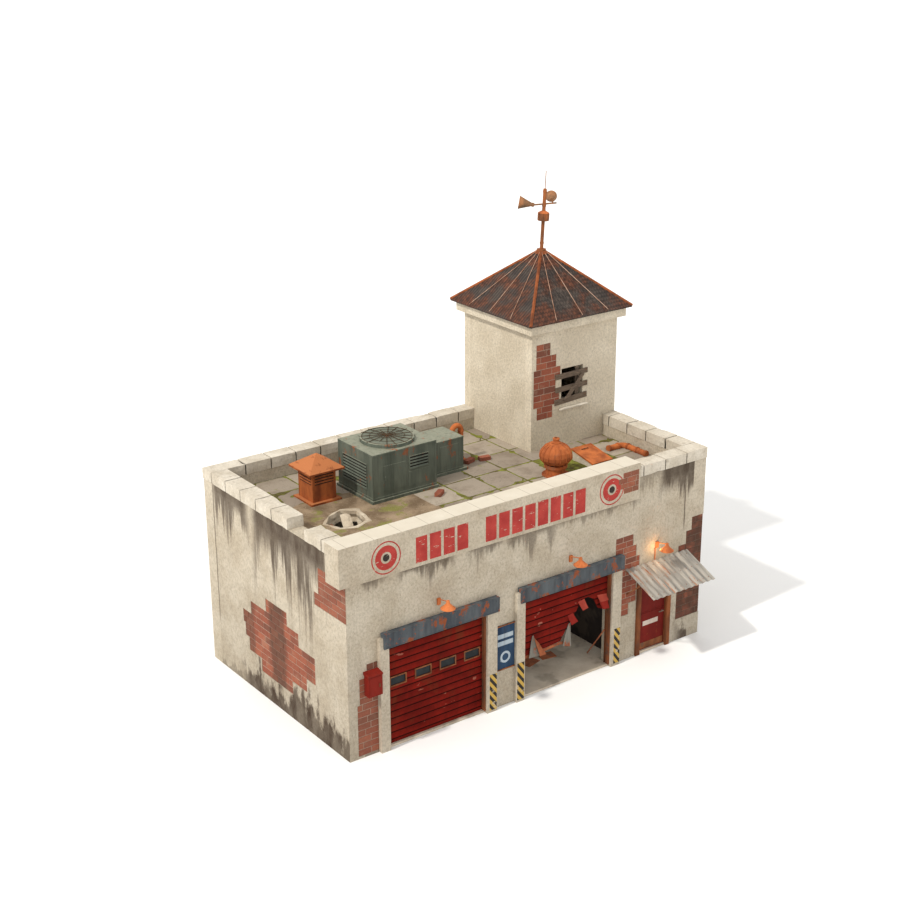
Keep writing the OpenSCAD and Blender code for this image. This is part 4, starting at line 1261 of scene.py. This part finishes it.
def make_window_details():
    """Nail heads on the boards, and a worn sill."""
    nails = Shape()
    for x, z in ((12.22, 9.05), (13.52, 9.08), (12.23, 8.57), (13.52, 8.60), (12.2, 8.1), (13.5, 8.17)):
        for dx in (-0.03, 0.03):
            nails.rod([at(x + dx, TOWER_Y - 0.034, z), at(x + dx, TOWER_Y - 0.044, z)], 0.012, 8)
    nails.build("board_nails", [LOOKS["rust_trim"]], "rusty_steel")
    sill_low, sill_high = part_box("window_sill")
    sill = Shape()
    rough_block(sill, sill_low, sill_high, 0.09, 0.08)
    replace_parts(sill.build("worn_sill", [LOOKS["coping"]], "coping_stone"), "window_sill")


def make_siren_details():
    """Lids, ribs and clamps on the leaning siren mast, and rims on its horns."""
    foot = at(13.02, 6.82, 13.15)
    lean = Matrix.Rotation(math.radians(3.4), 3, "Y")
    drum, horn = Shape(), Shape()
    drum.spin([(0.0, 1.36), (0.208, 1.36), (0.208, 1.38), (0.11, 1.43), (0.07, 1.45), (0.0, 1.45)], foot, 8,
              1, lean)
    drum.spin([(0.0, 1.09), (0.205, 1.09), (0.212, 1.11), (0.205, 1.13), (0.0, 1.13)], foot, 8, turn=lean)
    for k in range(8):
        a = 2 * math.pi * k / 8
        spot = Vector((0.2 * math.cos(a), 0.2 * math.sin(a), 0))
        drum.rod([foot + lean @ (spot + Vector((0, 0, 1.13))), foot + lean @ (spot + Vector((0, 0, 1.35)))],
                 0.012, 6)
    for height in (0.25, 1.6, 2.1):
        drum.spin([(0.0, height), (0.076, height), (0.076, height + 0.06), (0.0, height + 0.06)], foot, 16,
                  turn=lean)
    for spot, turn, tilt, mouth in (((-0.49, 0.0, 1.685), 140, -7, 0.235),
                                    ((0.38, 0.02, 1.795), 55, -6, 0.205)):
        spin = lean @ Matrix.Rotation(math.radians(turn), 3, "Z")
        spin = spin @ Matrix.Rotation(math.radians(90 + tilt), 3, "Y")
        centre = foot + lean @ Vector(spot)
        horn.spin([(mouth - 0.012, 0.505), (mouth + 0.004, 0.505), (mouth + 0.010, 0.517),
                   (mouth + 0.004, 0.53), (mouth - 0.010, 0.53)], centre, 28, turn=spin)
        horn.spin([(0.0, -0.03), (0.05, -0.03), (0.075, 0.0), (0.078, 0.05), (0.0, 0.06)], centre, 20,
                  turn=spin)
    drum.build("siren_drum_trim", [LOOKS["rust_mast"], LOOKS["rust_lamp"]], "rusty_steel", smooth=30)
    horn.build("siren_horn_rims", [LOOKS["rust_horn"]], "rusty_steel", smooth=50)


# ---------------------------------------------------------------- roof fittings


def louvres(shape, wall, u0, u1, v0, v1, count, painted_shade_mark=1):
    """Framed bank of sloping blades over a dark back sheet of painted shade."""
    shape.block((u0, v0, 0.0), (u1, v1, 0.004), 0.0, painted_shade_mark, wall=wall)
    rim = 0.03
    for a, b in (((u0 - rim, v0 - rim), (u1 + rim, v0)), ((u0 - rim, v1), (u1 + rim, v1 + rim)),
                 ((u0 - rim, v0), (u0, v1)), ((u1, v0), (u1 + rim, v1))):
        shape.block((a[0], a[1], 0.0), (b[0], b[1], 0.026), 0.006, wall=wall)
    pitch = (v1 - v0) / count
    for k in range(count):
        v = v0 + k * pitch
        low, high, deep = v + pitch * 0.08, v + pitch * 0.50, 0.034
        blade = [(high, 0.006), (low, deep), (low - 0.008, deep - 0.004), (high - 0.016, 0.002)]
        shape.loft([[wall(u, a, out) for a, out in blade] for u in (u0, u1)])


def unit_sides(x0, y0, x1, y1):
    """Left, front, right and back walls of a unit, each with its two ends."""
    return [(facing_left(x0), y0, y1), (facing_front(y0), x0, x1), (facing_right(x1), y0, y1),
            (facing_back(y1), x0, x1)]


def unit_frame(shape, wall, a, b, top, rail, post, deep, cut):
    """Rails along the top and foot of a unit's wall, and posts at its ends."""
    foot = 6.49
    shape.block((a, top - rail, 0.0), (b, top - cut, deep), cut, wall=wall)
    shape.block((a, foot, 0.0), (b, foot + rail, deep), cut, wall=wall)
    for u in (a, b - post):
        shape.block((u, foot + rail, 0.0), (u + post, top - rail, deep - 0.004), 0.004, wall=wall)


def make_unit_details():
    """Louvres, seams, rivets and hatches of the large unit, and the guard over its fan."""
    x0, y0, x1, y1 = 3.87, 4.25, 6.45, 6.36
    top = 8.09
    shape = Shape()
    sides = unit_sides(x0, y0, x1, y1)
    louvres(shape, sides[0][0], 4.62, 6.04, 6.80, 7.66, 8)
    louvres(shape, sides[1][0], 5.36, 6.10, 7.30, 7.72, 4)
    louvres(shape, sides[2][0], 4.62, 6.04, 6.80, 7.66, 8)
    louvres(shape, sides[3][0], 4.3, 6.0, 6.80, 7.5, 7)
    unit_front = sides[1][0]
    for wall, a, b in sides:
        unit_frame(shape, wall, a, b, top, 0.07, 0.06, 0.014, 0.005)
        count = 7
        for k in range(count):
            u = a + 0.1 + (b - a - 0.2) * k / (count - 1)
            for v in (top - 0.04, 6.525):
                shape.rod([wall(u, v, 0.012), wall(u, v, 0.024)], 0.014, 6)
    shape.block((4.30, 6.72, 0.0), (5.20, 7.62, 0.012), 0.006, wall=unit_front)
    shape.block((4.34, 7.10, 0.012), (4.38, 7.24, 0.035), 0.006, wall=unit_front)
    shape.block((5.30, 6.68, 0.0), (6.16, 7.20, 0.010), 0.006, wall=unit_front)
    shape.build("unit_panels", [LOOKS["unit_green"], LOOKS["gap"]], "unit_green")
    guard = Shape()
    centre = at((x0 + x1) / 2, (y0 + y1) / 2, 8.2)
    for k in range(16):
        a = 2 * math.pi * (k + 0.3) / 16 + random.uniform(-0.04, 0.04)
        reach = 0.95 if k not in (3, 9) else 0.6
        sag = random.uniform(0.0, 0.012)
        path = [centre + Vector((reach * s * math.cos(a + 0.05 * s), reach * s * math.sin(a + 0.05 * s),
                                 0.012 + 0.05 * (1 - s) - sag * s)) for s in (k2 / 6 for k2 in range(7))]
        guard.rod(path, 0.012, 6)
    for radius in (0.30, 0.60, 0.86):
        lift = 0.016 + 0.05 * (1 - radius / 0.88)
        angles = [2 * math.pi * k / 48 for k in range(49)]
        ring = [centre + Vector((radius * math.cos(t), radius * math.sin(t), lift)) for t in angles]
        guard.rod(ring, 0.008, 6)
    guard.spin([(0.0, 0.06), (0.06, 0.06), (0.07, 0.045), (0.07, 0.0), (0.0, 0.0)], centre, 24, 2)
    guard.spin([(0.0, 0.003), (0.84, 0.003), (0.84, 0.0), (0.0, 0.0)], centre, 48, 3)
    guard.spin([(0.90, -0.112), (0.925, -0.112), (0.925, 0.006), (0.86, 0.012), (0.86, 0.002), (0.90, 0.0)],
               centre, 64, 1)
    guard.build("fan_guard", [LOOKS["wire"], LOOKS["unit_green"], LOOKS["rust_lamp"], LOOKS["mesh"]],
                "dark_metal", smooth=50)


def make_small_unit_details():
    x0, y0, x1, y1 = 6.90, 4.97, 8.12, 6.20
    top = 7.65
    shape = Shape()
    sides = unit_sides(x0, y0, x1, y1)
    louvres(shape, sides[0][0], 5.2, 5.98, 6.72, 7.2, 5)
    louvres(shape, sides[2][0], 5.2, 5.98, 6.72, 7.2, 5)
    louvres(shape, sides[3][0], 7.1, 7.9, 6.72, 7.2, 5)
    for wall, a, b in sides:
        unit_frame(shape, wall, a, b, top, 0.06, 0.05, 0.012, 0.004)
    shape.block((7.12, 6.70, 0.0), (7.92, 7.44, 0.010), 0.005, wall=sides[1][0])
    shape.build("small_unit_panels", [LOOKS["unit_green"], LOOKS["gap"]], "unit_green")


def make_vent_details():
    shape = Shape()
    x, y = 2.69, 5.85
    walls = [lambda u, v, out: at(x + u, y - 0.45 - out, v), lambda u, v, out: at(x + u, y + 0.45 + out, v),
             lambda u, v, out: at(x - 0.45 - out, y + u, v), lambda u, v, out: at(x + 0.45 + out, y + u, v)]
    for wall in walls:
        for k in range(4):
            v = ROOF_Z + 0.68 + 0.10 * k
            # painted shade: a dark strip behind each blade
            shape.block((-0.36, v, 0.0), (0.36, v + 0.05, 0.003), 0.0, 1, wall=wall)
            shape.block((-0.37, v + 0.045, 0.0), (0.37, v + 0.065, 0.03), 0.004, wall=wall)
        for u in (-0.45, 0.42):
            shape.block((u, ROOF_Z + 0.08, 0.0), (u + 0.03, ROOF_Z + 1.12, 0.008), 0.003, wall=wall)
    shape.build("vent_louvres", [LOOKS["rust_vent"], LOOKS["gap"]], "rusty_steel")


def make_turbine_details():
    """Bolts round the flange, and a band and seam on the rotor."""
    x, y = 10.42, 2.70
    base, rotor = Shape(), Shape()
    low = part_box("turbine_rotor")[0].z
    for k in range(10):
        a = 2 * math.pi * k / 10
        p = at(x + 0.43 * math.cos(a), y + 0.43 * math.sin(a), ROOF_Z + 0.058)
        base.rod([p, p + Vector((0, 0, 0.02))], 0.022, 6)
    base.spin([(0.35, 0.10), (0.362, 0.10), (0.362, 0.15), (0.35, 0.15)], at(x, y, ROOF_Z), 40)
    base.build("turbine_bolts", [LOOKS["rust"]], "rusty_steel", smooth=40)
    rotor.spin([(0.05, 0.765), (0.16, 0.765), (0.17, 0.785), (0.15, 0.80), (0.05, 0.80)], at(x, y, low), 24)
    rotor.spin([(0.05, 0.90), (0.125, 0.90), (0.13, 0.915), (0.10, 0.938), (0.05, 0.94)], at(x, y, low), 24)
    rotor.build("turbine_knob_rings", [LOOKS["rust_bright"]], "rusty_steel", "turbine", smooth=50)


def make_hatch_details():
    """Flanges round the lid, and a pull in its slot near the far edge."""
    slope = math.radians(11)
    origin = at(11.78, 2.30, ROOF_Z + 0.15)
    turn = Matrix.Translation(origin) @ Matrix.Rotation(slope, 4, "X")
    lid = Shape()
    top = 0.056
    lid.block((0.0, 0.0, top), (0.92, 0.05, top + 0.012), 0.004, turn=turn)
    lid.block((0.0, 1.17, top), (0.92, 1.22, top + 0.012), 0.004, turn=turn)
    lid.block((0.0, 0.05, top), (0.04, 1.17, top + 0.012), 0.004, turn=turn)
    lid.block((0.88, 0.05, top), (0.92, 1.17, top + 0.012), 0.004, turn=turn)
    # painted shade: a dark sheet in the slot
    lid.block((0.30, 0.98, top), (0.62, 1.03, top + 0.003), 0.0, 1, turn=turn)
    lid.rod([turn @ Vector((0.34, 0.95, top + 0.012)), turn @ Vector((0.58, 0.95, top + 0.012))], 0.012, 8)
    lid.build("hatch_lid_trim", [LOOKS["rust_bright"], LOOKS["gap"]], "rusty_steel", "hatch", smooth=40)


def make_pipe_details():
    """Couplings on the corner pipe and the gooseneck."""
    shape = Shape()
    radius = 0.105
    across = Matrix.Rotation(math.pi / 2, 3, "Y")
    ring = [(0.0, -0.04), (radius + 0.018, -0.04), (radius + 0.024, 0.0), (radius + 0.018, 0.04),
            (0.0, 0.04)]
    for x in (13.45, 13.88):
        shape.spin(ring, at(x, 3.35, ROOF_Z + radius + 0.001), 24, turn=across)
    lengthwise = Matrix.Rotation(math.pi / 2, 3, "X")
    for y in (3.08, 2.60, 2.16):
        shape.spin(ring, at(14.14, y, ROOF_Z + radius + 0.001), 24, turn=lengthwise)
    small = [(0.0, -0.03), (0.108, -0.03), (0.113, 0.0), (0.108, 0.03), (0.0, 0.03)]
    shape.spin(small, at(8.66, 5.85, ROOF_Z + 1.12), 24)
    shape.spin(small, at(8.66, 5.85, ROOF_Z + 0.12), 24)
    shape.spin(small, at(8.28, 5.85, ROOF_Z + 1.02), 24)
    shape.build("pipe_couplings", [LOOKS["rust"]], "rusty_steel", smooth=40)


# ---------------------------------------------------------------- looks for the CAD nodes


def band_look():
    """Band render with a paler top that shows its joints."""
    look = Look("band_plaster", 0.9)
    colour = plaster_colour(look, tint(192, 181, 162), tint(174, 161, 141))
    up = look.normal()[2]
    top = look.fade(up, 0.5, 0.9)
    pale = look.mix(look.noise(2.0, 4.0), tint(200, 190, 172), tint(216, 208, 193))
    joint = look.fade(look.math("PINGPONG", look.x - CORNER.x, 0.5), 0.012, 0.004)
    pale = look.mix(joint * 0.6, pale, tint(110, 96, 78))
    colour = look.mix(top, colour, pale)
    return look.paint(colour)


RUNNING = (1, 1, 0.35)
EVEN = (1, 1, 1)
RUSTS = [  # name, bright rust, deep rust, ash, share of dark, flow of the spots
    ("rust_bright", (196, 112, 60), (150, 80, 44), (140, 100, 80), 0.2, RUNNING),
    ("rust_strip", (168, 96, 60), (120, 64, 40), (100, 80, 68), 0.3, RUNNING),
    ("rust_trim", (150, 92, 54), (96, 60, 38), (84, 72, 62), 0.4, RUNNING),
    ("rust_frame", (142, 82, 46), (92, 54, 34), (70, 62, 56), 0.5, RUNNING),
    ("rust_guide", (134, 76, 42), (78, 56, 42), (62, 62, 60), 0.5, RUNNING),
    ("rust_lamp", (206, 120, 68), (160, 88, 50), (130, 90, 70), 0.2, RUNNING),
    ("rust_mast", (158, 94, 52), (92, 62, 44), (76, 66, 54), 0.4, RUNNING),
    ("rust_horn", (168, 116, 78), (104, 84, 64), (96, 90, 74), 0.3, EVEN),
    ("rust_cap", (156, 86, 46), (108, 58, 32), (96, 74, 58), 0.3, EVEN),
    ("rust_debris", (186, 112, 76), (134, 84, 60), (120, 106, 94), 0.2, EVEN),
    ("batten", (190, 160, 140), (150, 104, 80), (160, 144, 130), 0.1, EVEN),
]


def make_looks():
    looks = {}
    front_drips = [(0.3, 1.4, 6.08, 0.1, 0.3, 0.7), (2.0, 4.0, 6.08, 0.15, 0.75, 0.85),
                   (4.7, 6.0, 6.08, 0.15, 0.6, 0.75), (6.2, 8.2, 6.08, 0.2, 0.7, 0.7),
                   (8.2, 11.8, 6.08, 0.1, 0.4, 0.6), (11.8, 12.9, 6.79, 0.15, 0.6, 0.5),
                   (12.9, 15.3, 6.79, 0.6, 0.9, 1.0)]
    front_feet = [(-0.5, 1.3, 0.5, 0.6), (13.9, 15.4, 1.0, 0.9)]
    looks["front"] = plaster_look("plaster_front", "x", front_drips, front_feet,
                                  streaks=[(14.07, 6.2, 4.1)], painted_foot_shade=0.80)
    left_drips = [(5.9, 8.2, 6.79, 0.4, 1.4, 0.95), (1.0, 5.5, 6.79, 0.85, 2.5, 1.0),
                  (-0.3, 1.2, 6.79, 0.5, 0.9, 0.8)]
    looks["left"] = plaster_look("plaster_left", "y", left_drips,
                                 [(-0.4, 6.6, 1.25, 1.0), (6.6, 9.2, 0.3, 0.5)],
                                 streaks=[(8.2, 6.7, 1.5), (7.3, 6.4, 4.6), (2.16, 5.6, 5.0)],
                                 painted_foot_shade=0.74)
    looks["right"] = plaster_look("plaster_right", "y",
                                  [(-0.2, 3.2, 6.79, 0.5, 1.0, 0.9), (4.6, 9.0, 6.36, 0.2, 1.2, 0.7)],
                                  [(-0.4, 9.2, 0.8, 0.8)], side=1.0, painted_foot_shade=0.80)
    looks["back"] = plaster_look("plaster_back", "x",
                                 [(-0.3, 5.0, 6.79, 0.4, 1.2, 0.85), (6.0, 11.2, 6.79, 0.3, 0.9, 0.8),
                                  (11.2, 15.2, 6.36, 0.1, 1.0, 0.5)], [(-0.4, 15.4, 0.8, 0.8)], side=1.0,
                                 painted_foot_shade=0.80)
    looks["pier"] = plaster_look("plaster_pier", "x", [], [], tint(206, 195, 176), tint(190, 177, 157),
                                 painted_foot_shade=0.82)
    # painted shade: the tower's side walls take a darker copy of its render than its front and back, toning
    # down their sunlit faces
    looks["tower"] = plaster_look("plaster_tower", "x", [], [], tint(213, 202, 182), tint(199, 187, 166))
    looks["tower_side"] = plaster_look("plaster_tower_side", "y", [], [], tint(205, 194, 174),
                                       tint(191, 179, 158))
    looks["band"] = band_look()
    looks["coping"] = stone_look("coping_stone")
    looks["kerb"] = stone_look("kerb_stone", tint(206, 196, 180), tint(176, 164, 146), 0.5)
    looks["floor"] = concrete_look("floor_concrete", tint(206, 194, 176), tint(182, 168, 150), 0.45)
    # painted shade: the bay partition is made near black for the shade inside the bay
    looks["partition"] = concrete_look("painted_shade_partition", tint(46, 38, 34), tint(34, 28, 26), 0.3)
    looks["slab"] = concrete_look("roof_slab_concrete", tint(150, 140, 124), tint(128, 117, 102))
    looks["broken"] = stone_look("broken_concrete", tint(206, 194, 174), tint(168, 152, 130), 0.5)
    looks["paver"] = paver_look()
    looks["moss"] = moss_look()
    looks["soil"] = soil_look()
    looks["rust"] = rust_look("rust")
    for name, bright, deep, ash, dark, flow in RUSTS:
        looks[name] = rust_look(name, tint(*bright), tint(*deep), tint(*ash), dark, flow)
    # top paints sunlight onto the vent's upward faces
    looks["rust_vent"] = rust_look("rust_vent", tint(172, 96, 50), tint(112, 54, 28), tint(96, 60, 42),
                                   0.55, top=tint(178, 110, 66))
    looks["blue_steel"] = painted_look("blue_steel", tint(88, 93, 96), tint(60, 65, 71), 0.545, scale=3.2)
    looks["unit_green"] = unit_look()
    looks["shutter_red"] = slat_look()
    looks["flap_red"] = painted_look("flap_red", tint(146, 38, 28), tint(118, 26, 19), 0.66)
    looks["flap_light"] = painted_look("flap_light", tint(176, 76, 60), tint(150, 56, 44), 0.68)
    looks["door_red"] = painted_look("door_red", tint(116, 28, 20), tint(92, 19, 13), 0.64,
                                     tint(150, 104, 94), 0.7)
    looks["cabinet_red"] = painted_look("cabinet_red", tint(122, 30, 19), tint(98, 20, 12), 0.64)
    looks["zinc_strip"] = painted_look("zinc_strip", tint(150, 146, 136), tint(104, 100, 92), 0.55)
    looks["corrugated"] = corrugated_look("corrugated", tint(172, 166, 156), tint(130, 126, 120), 0.56, "x",
                                          tint(140, 86, 58), tint(186, 126, 88))
    looks["roof_sheet"] = roof_sheet_look()
    looks["timber"] = timber_look()
    looks["glass"] = glass_look()
    # painted shade: a near-black look for sheets that stand for the shade behind louvres, in slots and in
    # joints
    looks["gap"] = dark_look()
    looks["wire"] = dark_look("guard_wire", tint(48, 46, 38), tint(92, 72, 52))
    looks["mesh"] = dark_look("guard_mesh", tint(92, 98, 88), tint(124, 126, 112))
    looks["hazard"] = hazard_look(0.33)
    looks["sign_red"] = worn_paint_look("sign_red", tint(176, 62, 54), tint(156, 46, 42), 0.66)
    looks["sign_dark"] = worn_paint_look("sign_dark", tint(52, 44, 38), tint(40, 34, 30), 0.72)
    looks["banner_blue"] = painted_look("banner_blue", tint(48, 72, 98), tint(30, 46, 68), 0.7,
                                        tint(110, 126, 140), 0.68)
    looks["banner_pale"] = painted_look("banner_pale", tint(176, 188, 196), tint(150, 164, 176), 0.72)
    looks["label"] = painted_look("label_plate", tint(206, 192, 180), tint(182, 166, 154), 0.7)
    looks["handle"] = painted_look("handle_metal", tint(150, 132, 116), tint(110, 96, 84), 0.6)
    looks["bulb"] = glass_look()
    looks["glow"] = glow_look()
    looks["band_brick"] = brick_look("band_brick", 0.5, tint(112, 82, 64))
    looks["loose_brick"] = brick_look("loose_brick", 0.15, tint(120, 80, 62))
    return looks


NODE_LOOKS = {
    "front": ["front_wall_left", "front_wall_middle", "front_wall_entry_side", "front_wall_right",
              "front_wall_over_entry", "front_wall_upper"],
    "left": ["left_wall"], "right": ["right_wall"], "back": ["back_wall"], "pier": ["door_piers"],
    "tower": ["tower_front_wall", "tower_back_wall", "tower_cornice"],
    "tower_side": ["tower_left_wall", "tower_right_wall"],
    "band": ["sign_band"], "kerb": ["hatch_kerb"], "floor": ["floor_slab"], "partition": ["bay_partition"],
    "slab": ["roof_slab"], "blue_steel": ["door_lintels"], "rust_guide": ["shutter_guides"],
    "shutter_red": ["shutter_left", "shutter_right"], "glass": ["shutter_windows"],
    "rust_debris": ["shutter_debris"], "rust_frame": ["entry_frame"], "door_red": ["entry_door"],
    "handle": ["entry_handle"], "corrugated": ["awning_sheet"], "rust_trim": ["awning_frame"],
    "rust_lamp": ["wall_lamps"], "cabinet_red": ["wall_cabinet"], "banner_blue": ["wall_banner"],
    "roof_sheet": ["tower_roof"], "timber": ["window_boards"], "rust_mast": ["siren_mast"],
    "rust_horn": ["siren_horns"], "unit_green": ["cooling_unit_large", "cooling_unit_small"],
    "rust_vent": ["roof_vent"], "rust": ["turbine_base"],
    "rust_bright": ["turbine_rotor", "hatch_lid", "roof_pipes"], "loose_brick": ["loose_bricks"],
}


def dress_nodes():
    for look, names in NODE_LOOKS.items():
        for name in names:
            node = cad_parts[name]
            if not node.material_slots:
                node.data.materials.append(None)
            for slot in node.material_slots:
                slot.material = LOOKS[look]


def make_floor():
    look = Look("studio_floor", 0.9, specular=0.2)
    mesh = bpy.data.meshes.new("studio_floor")
    size = 500.0
    mesh.from_pydata([(-size, -size, -0.002), (size, -size, -0.002), (size, size, -0.002),
                      (-size, size, -0.002)], [], [(0, 1, 2, 3)])
    mesh.materials.append(look.paint((0.9, 0.9, 0.9, 1.0)))
    floor = bpy.data.objects.new("studio_floor", mesh)
    bpy.context.collection.objects.link(floor)


make_camera()
make_light()
LOOKS = make_looks()
dress_nodes()
make_floor()
make_brickwork()
make_coping()
make_roof_deck()
make_roof_break()
make_shutter_details()
make_torn_shutter()
make_pier_paint()
make_lintel_details()
make_band_paint()
make_banner()
make_entry_details()
make_awning_details()
make_lamp_details()
make_cabinet_details()
make_tower_roof()
make_window_details()
make_siren_details()
make_unit_details()
make_small_unit_details()
make_vent_details()
make_turbine_details()
make_hatch_details()
make_pipe_details()
